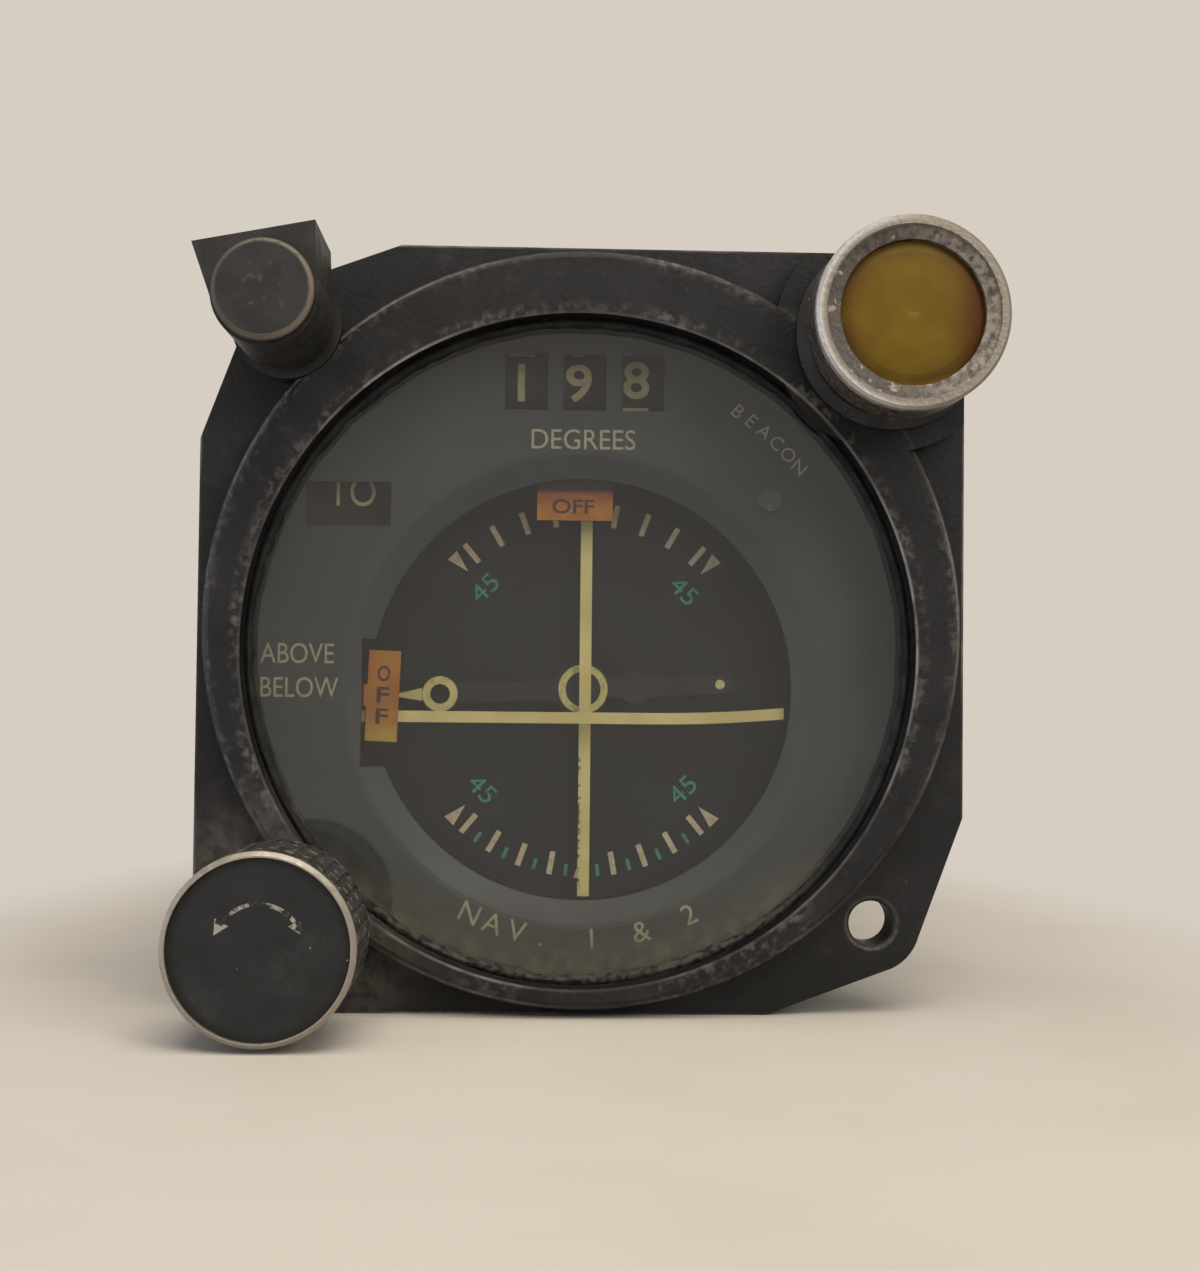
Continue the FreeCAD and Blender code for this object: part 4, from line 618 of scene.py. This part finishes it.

# Two warning flags drop into view when a signal is lost. Each is a thin aluminium leaf in fluorescent
# orange, faded to ochre, with OFF in dark red-brown letters. The top of the upper flag is painted
# red-brown and then near black at its edge, as painted shade under the mask's lip.
flag_paint = material_named("faded_orange_flag_paint", {"Specular IOR Level": 0.3})
flag_arm = either(
    flag_paint,
    step(flag_paint, along(flag_paint, "Y"), 1.25 * MM, 1.35 * MM),
    step(flag_paint, along(flag_paint, "X"), -23.9 * MM, -24.0 * MM),
)
# Painted shade under the mask's lip: the upper flag darkens to red-brown towards its top, and its top edge
# to near black.
painted_lip_shade = both(
    flag_paint,
    step(flag_paint, along(flag_paint, "Z"), 13.2 * MM, 15.2 * MM),
    patches(flag_paint, 1.4 * MM, 0.30, 0.60, 0.4, 1.0),
)
painted_lip_shadow = step(flag_paint, along(flag_paint, "Z"), 15.0 * MM, 15.7 * MM)
low_end = step(flag_paint, along(flag_paint, "Z"), -9.5 * MM, -12.2 * MM)
coats(
    flag_paint,
    "#8b570f",
    (patches(flag_paint, 2.2 * MM, 0.40, 0.62), "#7c490c"),
    (low_end, "#917622"),
    (painted_lip_shade, "#6a3210"),
    (painted_lip_shadow, "#1d0a06"),
    (
        both(flag_paint, specks(flag_paint, 0.9 * MM, 0.12 * MM), patches(flag_paint, 2 * MM, 0.5, 0.6)),
        "#6b3a1a",
    ),
    (flag_arm, "#141516"),
)
rough(flag_paint, 1 * MM, 0.5, 0.7)
dress(flag_paint, "orange_flag", "top_flag", "side_flag")

dark_red = material_named("dark_red_letter_paint", {"Specular IOR Level": 0.3})
coats(dark_red, "#331609", (patches(dark_red, 0.4 * MM, 0.58, 0.72), "#4f2b12"))
rough(dark_red, 1 * MM, 0.5, 0.7)
FLAG_FRONT = 1.0 * MM
settle(
    lettering("OFF", 1.6 * MM, -1.1 * MM, FLAG_FRONT, 13.75 * MM, wide=4.7 * MM, bold=0.02),
    "top_flag_word",
    dark_red,
    "upper_flag",
)
stack = []
for row, letter in enumerate("OFF"):
    place = ((-21.75 - 0.09 * row) * MM, FLAG_FRONT, (-5.0 - 2.35 * row) * MM)
    stack.append(lettering(letter, 1.75 * MM, *place, 2, 1.4 * MM, 0.02))
settle(joined(stack), "side_flag_word", dark_red, "left_flag")

# The word vane swings behind the left window and says which way the course leads. At rest the tops
# of its letters are behind the window's upper edge.
vane_black = material_named("black_vane_lacquer", {"Specular IOR Level": 0.3})
coats(vane_black, "#0f1010", (patches(vane_black, 3 * MM, 0.4, 0.7), "#161818"))
rough(vane_black, 2 * MM, 0.45, 0.6)
dress(vane_black, "drum_black", "word_vane")
VANE_FRONT = 1.4 * MM
settle(
    lettering("TO", 3.2 * MM, -25.6 * MM, VANE_FRONT, 15.1 * MM, wide=5.2 * MM),
    "vane_word",
    figure_paint,
    "vane",
)

# The heading pointer is a flat black bar on its own shaft. Its eye, its tip, a dot on its tail and the
# ring on its hub carry luminous paint that has gone yellow.
POINTER_FRONT = 4.7 * MM
POINTER_TILT = 2.5
HUB_RING = (1.97 * MM, 2.77 * MM)
EYE_RING = (1.12 * MM, 1.98 * MM)
EYE_X = 15.8 * MM

pointer_black = material_named("satin_black_pointer", {"Specular IOR Level": 0.35})
coats(pointer_black, "#0b0c0d", (patches(pointer_black, 2 * MM, 0.4, 0.7), "#121415"))
rough(pointer_black, 2 * MM, 0.35, 0.5)
dress(pointer_black, "black_pointer", "heading_pointer")
luminous = material_named("aged_luminous_paint", {"Specular IOR Level": 0.25})
coats(
    luminous,
    "#a59a66",
    (patches(luminous, 0.5 * MM, 0.45, 0.65), "#938853"),
    (patches(luminous, 0.25 * MM, 0.70, 0.78), "#5c5533"),
)
rough(luminous, 1 * MM, 0.6, 0.8)


def flat_ring(inner, outer, x, y, z, steps=64):
    """A thin flat ring about an axis along Y, facing the front."""
    bpy.ops.object.select_all(action="DESELECT")
    bpy.ops.mesh.primitive_circle_add(vertices=steps, radius=outer, fill_type="NGON")
    made = bpy.context.object
    bpy.ops.object.mode_set(mode="EDIT")
    bpy.ops.mesh.select_all(action="SELECT")
    bpy.ops.mesh.inset(thickness=outer - inner)
    bpy.ops.mesh.delete(type="ONLY_FACE")
    bpy.ops.mesh.select_all(action="SELECT")
    bpy.ops.mesh.extrude_region_move(TRANSFORM_OT_translate={"value": (0, 0, INK_T)})
    bpy.ops.mesh.select_all(action="SELECT")
    bpy.ops.mesh.normals_make_consistent(inside=False)
    bpy.ops.object.mode_set(mode="OBJECT")
    made.rotation_euler = (radians(90), 0, 0)
    made.location = (x, y, z)
    return made


def on_pointer(reach):
    """The place on the pointer that far along it from its hub, the tip's way."""
    tilt = radians(POINTER_TILT)
    return -reach * cos(tilt), POINTER_FRONT, DIAL_Z - reach * sin(tilt)


tip = [
    (-2.0 * MM, -0.72 * MM),
    (0.6 * MM, -0.2 * MM),
    (2.0 * MM, -0.2 * MM),
    (2.0 * MM, 0.2 * MM),
    (0.6 * MM, 0.2 * MM),
    (-2.0 * MM, 0.72 * MM),
]
tip = [(-across, up) for across, up in tip]
painted = [
    flat_ring(*HUB_RING, 0.3 * MM, POINTER_FRONT, DIAL_Z),
    flat_ring(*EYE_RING, *on_pointer(EYE_X)),
    flat_shape(tip, *on_pointer(19.8 * MM), -POINTER_TILT),
    flat_ring(0.02 * MM, 0.54 * MM, *on_pointer(-EYE_X), steps=24),
]
settle(joined(painted), "pointer_luminous_paint", luminous, "heading_hand")

# The set knob is turned from aluminium, with a fluted skirt and a sunk disc of black lacquer. The
# anodising is worn off its front rim, which is bright. A generic double arrow, worn, curves over
# the upper half of the disc and shows that the knob turns both ways.
KNOB_FRONT = -27.0 * MM
DISC_FRONT = -26.5 * MM

knob_metal = material_named("worn_black_anodised_aluminium", {})
rim = both(
    knob_metal,
    step(knob_metal, along(knob_metal, "Y"), KNOB_FRONT + 1.0 * MM, KNOB_FRONT + 0.55 * MM),
    step(knob_metal, from_axis(knob_metal, KNOB_X, KNOB_Z), 8.6 * MM, 8.75 * MM),
)
bare = either(
    knob_metal,
    both(knob_metal, rim, patches(knob_metal, 0.9 * MM, 0.22, 0.36)),
    both(
        knob_metal,
        step(knob_metal, from_axis(knob_metal, KNOB_X, KNOB_Z), 9.22 * MM, 9.29 * MM),
        patches(knob_metal, 1.2 * MM, 0.55, 0.66),
    ),
)
coats(knob_metal, "#1b1a19", (patches(knob_metal, 1.2 * MM, 0.4, 0.7), "#35322d"), (bare, "#9d978c"))
feed(knob_metal, "Metallic", both(knob_metal, bare, patches(knob_metal, 0.7 * MM, 0.2, 0.5, 0.6, 0.9)))
rough(knob_metal, 0.8 * MM, 0.36, 0.58)
bumps(knob_metal, 0.5 * MM, 0.05 * MM)
dress(knob_metal, "knob_aluminium", "knob_shell")

disc_black = material_named("black_disc_lacquer", {"Specular IOR Level": 0.4})
haze = both(
    disc_black,
    patches(disc_black, 5 * MM, 0.5, 0.72),
    patches(disc_black, 0.5 * MM, 0.35, 0.7, 0.3, 0.8),
)
coats(
    disc_black,
    "#0f1011",
    (patches(disc_black, 3 * MM, 0.4, 0.7), "#151617"),
    (haze, "#2a2c2b"),
    # Painted shade: a darker ring round the disc's edge, where the rim's wall stands over the sunk disc.
    (step(disc_black, from_axis(disc_black, KNOB_X, KNOB_Z), 7.6 * MM, 8.5 * MM), "#050505"),
    (
        both(disc_black, specks(disc_black, 2.2 * MM, 0.2 * MM), patches(disc_black, 4 * MM, 0.54, 0.62)),
        "#6d6d66",
    ),
)
rough(disc_black, 2 * MM, 0.42, 0.6)
bumps(disc_black, 0.3 * MM, 0.02 * MM)
dress(disc_black, "black_disc", "knob_disc")

worn_fill = material_named("worn_grey_fill", {"Specular IOR Level": 0.3})
coats(
    worn_fill,
    "#8a8a78",
    (patches(worn_fill, 0.9 * MM, 0.46, 0.56), "#232424"),
    (patches(worn_fill, 0.4 * MM, 0.6, 0.7), "#5d5d52"),
)
rough(worn_fill, 1 * MM, 0.6, 0.8)
ARROW_R = 4.3 * MM
disc_marks = []
for turn in range(-48, 49, 8):
    place = (KNOB_X + ARROW_R * sin(radians(turn)), DISC_FRONT, KNOB_Z + ARROW_R * cos(radians(turn)))
    disc_marks.append(flat_shape(bar(0.64 * MM, 0.4 * MM), *place, turn))
for side in (-1, 1):
    turn = 60 * side
    place = (KNOB_X + ARROW_R * sin(radians(turn)), DISC_FRONT, KNOB_Z + ARROW_R * cos(radians(turn)))
    head = [(side * across * MM, up * MM) for across, up in ((-0.5, -0.75), (0.95, 0.0), (-0.5, 0.75))]
    disc_marks.append(flat_shape(head, *place, turn))
settle(joined(disc_marks), "knob_arrow", worn_fill, "set_knob")

# The marker lamp stands on its own boss. Its aluminium cap was painted black; the paint is rubbed off
# the rim and flaking round the lens, which is a shallow dome of amber glass over a small bulb. A painted
# highlight brightens the left of the cap's rim, and another runs along the lower edge of the lens.
CAP_FRONT = -21.0 * MM

cap_metal = material_named("aluminium_cap_flaking_paint", {})
reach = from_axis(cap_metal, LAMP_X, LAMP_Z)
rim = step(cap_metal, reach, 8.6 * MM, 8.95 * MM)
front = step(cap_metal, along(cap_metal, "Y"), CAP_FRONT + 1.6 * MM, CAP_FRONT + 1.2 * MM)
flaked = patches(cap_metal, 1.0 * MM, 0.60, 0.66)
right_side = step(cap_metal, along(cap_metal, "X"), 29 * MM, 39 * MM)
worn_right = both(cap_metal, right_side, patches(cap_metal, 0.9 * MM, 0.34, 0.60))
bare = both(
    cap_metal,
    front,
    either(cap_metal, both(cap_metal, rim, patches(cap_metal, 1.1 * MM, 0.15, 0.30)), flaked, worn_right),
)
# Painted highlight: a bright band on the left side of the cap's rim.
painted_rim_glint = both(
    cap_metal,
    front,
    step(cap_metal, reach, 9.0 * MM, 9.5 * MM),
    step(cap_metal, along(cap_metal, "X"), 36 * MM, 26 * MM),
)
coats(
    cap_metal,
    "#2c251e",
    (patches(cap_metal, 0.8 * MM, 0.42, 0.60), "#453c32"),
    (patches(cap_metal, 0.3 * MM, 0.60, 0.72), "#5c5248"),
    (bare, "#857e74"),
    (
        both(
            cap_metal,
            bare,
            patches(cap_metal, 0.7 * MM, 0.50, 0.66),
            step(cap_metal, reach, 9.2 * MM, 8.8 * MM),
        ),
        "#5f574d",
    ),
    (painted_rim_glint, "#b3afaa"),
)
feed(cap_metal, "Metallic", both(cap_metal, bare, patches(cap_metal, 0.7 * MM, 0.2, 0.5, 0.45, 0.75)))
rough(cap_metal, 0.8 * MM, 0.38, 0.6)
bumps(cap_metal, 0.5 * MM, 0.08 * MM)
dress(cap_metal, "lamp_aluminium", "lamp_cap")

holder = material_named("black_painted_holder", {"Specular IOR Level": 0.35})
coats(
    holder,
    "#0b0b0c",
    (patches(holder, 3 * MM, 0.4, 0.65), "#171719"),
    (patches(holder, 0.7 * MM, 0.66, 0.72), "#5f5d5a"),
)
rough(holder, 2 * MM, 0.4, 0.6)
bumps(holder, 0.4 * MM, 0.04 * MM)
dress(holder, "black_casting", "lamp_body")

amber = material_named("amber_glass_lens", {"IOR": 1.5, "Roughness": 0.5, "Specular IOR Level": 0.12})
lens_edge = step(amber, from_axis(amber, LAMP_X, LAMP_Z), 4.8 * MM, 7.2 * MM)
reddish = both(
    amber,
    step(amber, along(amber, "X"), 35.0 * MM, 39.5 * MM),
    patches(amber, 5 * MM, 0.2, 0.5, 0.6, 1.0),
)
# Painted highlight: a brighter amber line along the lower edge of the lens.
lit_foot = both(
    amber,
    step(amber, along(amber, "Z"), LAMP_Z - 5.2 * MM, LAMP_Z - 7.2 * MM),
    step(amber, from_axis(amber, LAMP_X, LAMP_Z), 6.8 * MM, 7.3 * MM),
)
coats(
    amber,
    "#5f4a10",
    (patches(amber, 5 * MM, 0.4, 0.65), "#655310"),
    (both(amber, lens_edge, patches(amber, 4 * MM, 0.3, 0.6, 0.3, 0.8)), "#4f3517"),
    (reddish, "#462807"),
    (lit_foot, "#755417"),
    (both(amber, specks(amber, 1.6 * MM, 0.1 * MM), patches(amber, 4 * MM, 0.5, 0.6)), "#7b6a30"),
)
dress(amber, "amber_lens", "lamp_lens")

bulb = material_named("clear_bulb_glass", {"Roughness": 0.05, "Transmission Weight": 0.8, "IOR": 1.5})
coats(bulb, "#d9d6cf", (patches(bulb, 2 * MM, 0.4, 0.7), "#c9c3b4"))
dress(bulb, "bulb_glass", "lamp_bulb", "light_bulb")

# The post light at the upper left lights the face through a slot in its hood. Hood, base and cap are
# brass in black enamel. The cap's edge is worn to a pale brown ring.
POST_X = -31.83 * MM
POST_Z = 31.83 * MM
POST_FRONT = -25.0 * MM

hood_black = material_named("black_hood_enamel_worn", {"Specular IOR Level": 0.35})
axis_gap = from_axis(hood_black, POST_X, POST_Z)
cap_edge = both(
    hood_black,
    at(hood_black, axis_gap, 4.75 * MM, 0.4 * MM),
    step(hood_black, along(hood_black, "Y"), POST_FRONT + 0.9 * MM, POST_FRONT + 0.5 * MM),
)
right_hand = add(
    hood_black,
    "MapRange",
    {
        "Value": along(hood_black, "X"),
        "From Min": POST_X - 4 * MM,
        "From Max": POST_X + 3 * MM,
        "To Min": 0.35,
        "To Max": 1.0,
    },
)
marked = both(
    hood_black,
    step(hood_black, axis_gap, 3.2 * MM, 2.2 * MM),
    step(hood_black, along(hood_black, "Y"), POST_FRONT + 0.3 * MM, POST_FRONT + 0.1 * MM),
    patches(hood_black, 1.1 * MM, 0.58, 0.66),
)
coats(
    hood_black,
    "#1b1a19",
    (patches(hood_black, 3 * MM, 0.38, 0.65), "#262422"),
    (patches(hood_black, 0.5 * MM, 0.68, 0.78), "#393631"),
    (marked, "#363631"),
    (both(hood_black, cap_edge, right_hand, patches(hood_black, 1 * MM, 0.25, 0.45)), "#6f6556"),
)
rough(hood_black, 2 * MM, 0.45, 0.65)
bumps(hood_black, 0.4 * MM, 0.04 * MM)
dress(hood_black, "black_hood", "light_hood", "light_cap", "light_base")

# Behind the panel the mechanism is closed by a drawn aluminium can and a turned rear cover, in
# smooth black enamel. Steel screws hold the cover and the connector.
can_black = material_named("smooth_black_enamel", {"Specular IOR Level": 0.4})
scuffs = both(
    can_black,
    patches(can_black, 1.1 * MM, 0.63, 0.70, stretch=(1, 0.15, 1)),
    patches(can_black, 20 * MM, 0.50, 0.64),
)
coats(can_black, "#161617", (patches(can_black, 22 * MM, 0.38, 0.66), "#1f1f20"), (scuffs, "#434240"))
rough(can_black, 14 * MM, 0.42, 0.50)
bumps(can_black, 0.8 * MM, 0.02 * MM)
dress(can_black, "black_can", "case_can", "gear_lobe_cover", "rear_cover")

screw_steel = material_named("zinc_plated_screw_steel", {"Metallic": 1.0})
coats(screw_steel, "#8f8d88", (patches(screw_steel, 0.8 * MM, 0.45, 0.7), "#6f6b64"))
rough(screw_steel, 0.6 * MM, 0.3, 0.5)
dress(
    screw_steel,
    "steel_screw",
    "rear_cover_screws",
    "connector_screws",
    "post_screws",
    "plate_screws",
    "knob_set_screw",
)

dark_screw = material_named("blackened_screw_steel", {"Metallic": 0.6})
coats(dark_screw, "#373d42", (patches(dark_screw, 0.5 * MM, 0.5, 0.7), "#565b5f"))
rough(dark_screw, 0.5 * MM, 0.35, 0.5)
dress(dark_screw, "black_screw", "mask_screw")

shell_metal = material_named("olive_plated_connector_shell", {"Metallic": 0.7})
coats(
    shell_metal,
    "#6c6a55",
    (patches(shell_metal, 3 * MM, 0.4, 0.7), "#7c7a66"),
    (patches(shell_metal, 0.6 * MM, 0.68, 0.76), "#a3a192"),
)
rough(shell_metal, 1.5 * MM, 0.35, 0.55)
dress(shell_metal, "connector_plate", "connector_shell")

insert = material_named("moulded_insert_and_gold_pins", {})
pins = step(insert, along(insert, "Y"), 131.5 * MM, 131.6 * MM)
coats(insert, "#1c2a26", (patches(insert, 2 * MM, 0.4, 0.7), "#22322d"), (pins, "#c79a45"))
feed(insert, "Metallic", pins)
rough(insert, 1 * MM, 0.3, 0.45)
dress(insert, "insert_plastic", "connector_insert")

# The mechanism frame is of machined aluminium plates on steel posts. The gears are cut from brass
# and run on steel arbors. The synchros and meters have plain grey metal shells.
plate_metal = material_named("machined_aluminium_plate", {"Metallic": 0.95})
coats(plate_metal, "#a9a9a6", (patches(plate_metal, 2 * MM, 0.4, 0.7, stretch=(0.1, 1, 1)), "#95958f"))
rough(plate_metal, 1.5 * MM, 0.35, 0.5)
dress(plate_metal, "aluminium", "mask_post", "mid_plate", "centre_plate", "rear_plate", "counter_frame")

blacked = material_named("black_anodised_plate", {"Specular IOR Level": 0.3})
coats(blacked, "#0b0b0c", (patches(blacked, 6 * MM, 0.4, 0.7), "#131314"))
rough(blacked, 3 * MM, 0.45, 0.6)
dress(blacked, "black_dial", "front_plate")

brass = material_named("cut_gear_brass", {"Metallic": 1.0})
coats(brass, "#b5924c", (patches(brass, 2 * MM, 0.4, 0.7), "#9c7b3c"))
rough(brass, 1 * MM, 0.28, 0.42)
dress(
    brass,
    "brass",
    "knob_gear",
    "idler_gear",
    "course_gear",
    "takeoff_gear",
    "transfer_gear",
    "contrate_gear",
    "carry_pinions",
)

steel = material_named("ground_shaft_steel", {"Metallic": 1.0})
coats(steel, "#9a9a98", (patches(steel, 1.5 * MM, 0.4, 0.7), "#83827f"))
rough(steel, 1 * MM, 0.25, 0.38)
dress(steel, "steel", "counter_shaft", "knob_shaft", "knob_bushing", "frame_posts")

synchro = material_named("grey_synchro_shell", {"Metallic": 0.85})
coats(synchro, "#7c7f82", (patches(synchro, 4 * MM, 0.4, 0.7), "#6b6e71"))
rough(synchro, 2 * MM, 0.35, 0.5)
dress(synchro, "synchro_shell", "heading_synchro", "course_resolver")

magnet = material_named("plated_magnet_steel", {"Metallic": 0.9})
coats(magnet, "#5c5d60", (patches(magnet, 2.5 * MM, 0.4, 0.7), "#6e6f71"))
rough(magnet, 1.5 * MM, 0.35, 0.5)
dress(
    magnet,
    "magnet_steel",
    "course_meter",
    "slope_meter",
    "top_flag_meter",
    "side_flag_meter",
    "vane_meter",
)

# The floor is a plain pale table that fades into the same pale tone all round. Soft lamps light the
# face from above and in front, with a cooler one from low on the left, as from a window.
BACKGROUND = "#d6cec2"
FLOOR_Z = cad_box[0].z
CAMERA_AT = (-4.85 * MM, -195 * MM, -6.5 * MM)
AIM = (1.83 * MM, -5 * MM, -0.7 * MM)
ROLL = 0.6

bpy.ops.object.select_all(action="DESELECT")
bpy.ops.mesh.primitive_circle_add(vertices=96, radius=2.2, fill_type="NGON", location=(0, 0, FLOOR_Z))
floor = bpy.context.object
floor.name = "table_top"
table = material_named("pale_matt_table", {"Roughness": 0.8, "Specular IOR Level": 0.1})
coats(table, "#c3bcb0", (patches(table, 40 * MM, 0.4, 0.7), "#beb7aa"))
glow = add(table, "Emission", {"Color": colour(BACKGROUND), "Strength": 1.0}, "Emission")
spread = add(
    table,
    "VectorMath",
    {0: add(table, "TexCoord", output="Object"), 1: (1.4, 0.7, 0)},
    operation="MULTIPLY",
)
fading = step(
    table,
    add(table, "VectorMath", {0: spread, 1: (0, 20 * MM, 0)}, "Value", operation="DISTANCE"),
    85 * MM,
    150 * MM,
)
shown = add(
    table,
    "MixShader",
    {0: fading, 1: table.node_tree.nodes["Principled BSDF"].outputs[0], 2: glow},
)
table.node_tree.links.new(shown, table.node_tree.nodes["Material Output"].inputs[0])
floor.data.materials.append(table)

world = bpy.data.worlds.new("pale_room")
bpy.context.scene.world = world
world.use_nodes = True
sky = world.node_tree.nodes["Background"]
sky.inputs["Color"].default_value = colour("#e9ebee")
sky.inputs["Strength"].default_value = 0.55
seen = world.node_tree.nodes.new("ShaderNodeBackground")
seen.inputs["Color"].default_value = colour(BACKGROUND)
path = world.node_tree.nodes.new("ShaderNodeLightPath")
direct = path.outputs["Is Camera Ray"]
for ray in ("Is Glossy Ray", "Is Transmission Ray"):
    most = world.node_tree.nodes.new("ShaderNodeMath")
    most.operation = "MAXIMUM"
    world.node_tree.links.new(direct, most.inputs[0])
    world.node_tree.links.new(path.outputs[ray], most.inputs[1])
    direct = most.outputs[0]
pick = world.node_tree.nodes.new("ShaderNodeMixShader")
world.node_tree.links.new(direct, pick.inputs[0])
world.node_tree.links.new(sky.outputs[0], pick.inputs[1])
world.node_tree.links.new(seen.outputs[0], pick.inputs[2])
world.node_tree.links.new(pick.outputs[0], world.node_tree.nodes["World Output"].inputs[0])

for name, where, size, power, tint in (
    ("ceiling_lamp", (0.10, -0.45, 0.80), 0.7, 8.0, "#fff6ea"),
    ("front_lamp", (0.60, -0.75, 0.45), 0.4, 3.0, "#fff8f0"),
    ("window_light", (-0.55, -0.30, -0.03), 0.35, 2.4, "#d6e2ff"),
):
    bpy.ops.object.light_add(type="AREA", location=where)
    lamp = bpy.context.object
    lamp.name = name
    lamp.data.size = size
    lamp.data.energy = power
    lamp.data.color = colour(tint)[:3]
    lamp.rotation_euler = (-Vector(where)).to_track_quat("-Z", "Y").to_euler()

bpy.ops.object.camera_add(location=CAMERA_AT)
camera = bpy.context.object
camera.data.lens = 50.0
camera.data.sensor_width = 36.0
camera.data.clip_start = 0.01
aim = (Vector(AIM) - Vector(CAMERA_AT)).to_track_quat("-Z", "Y").to_matrix()
camera.rotation_euler = (aim @ Matrix.Rotation(radians(ROLL), 3, "Z")).to_euler()
bpy.context.scene.camera = camera
bpy.context.scene.view_settings.view_transform = "Standard"
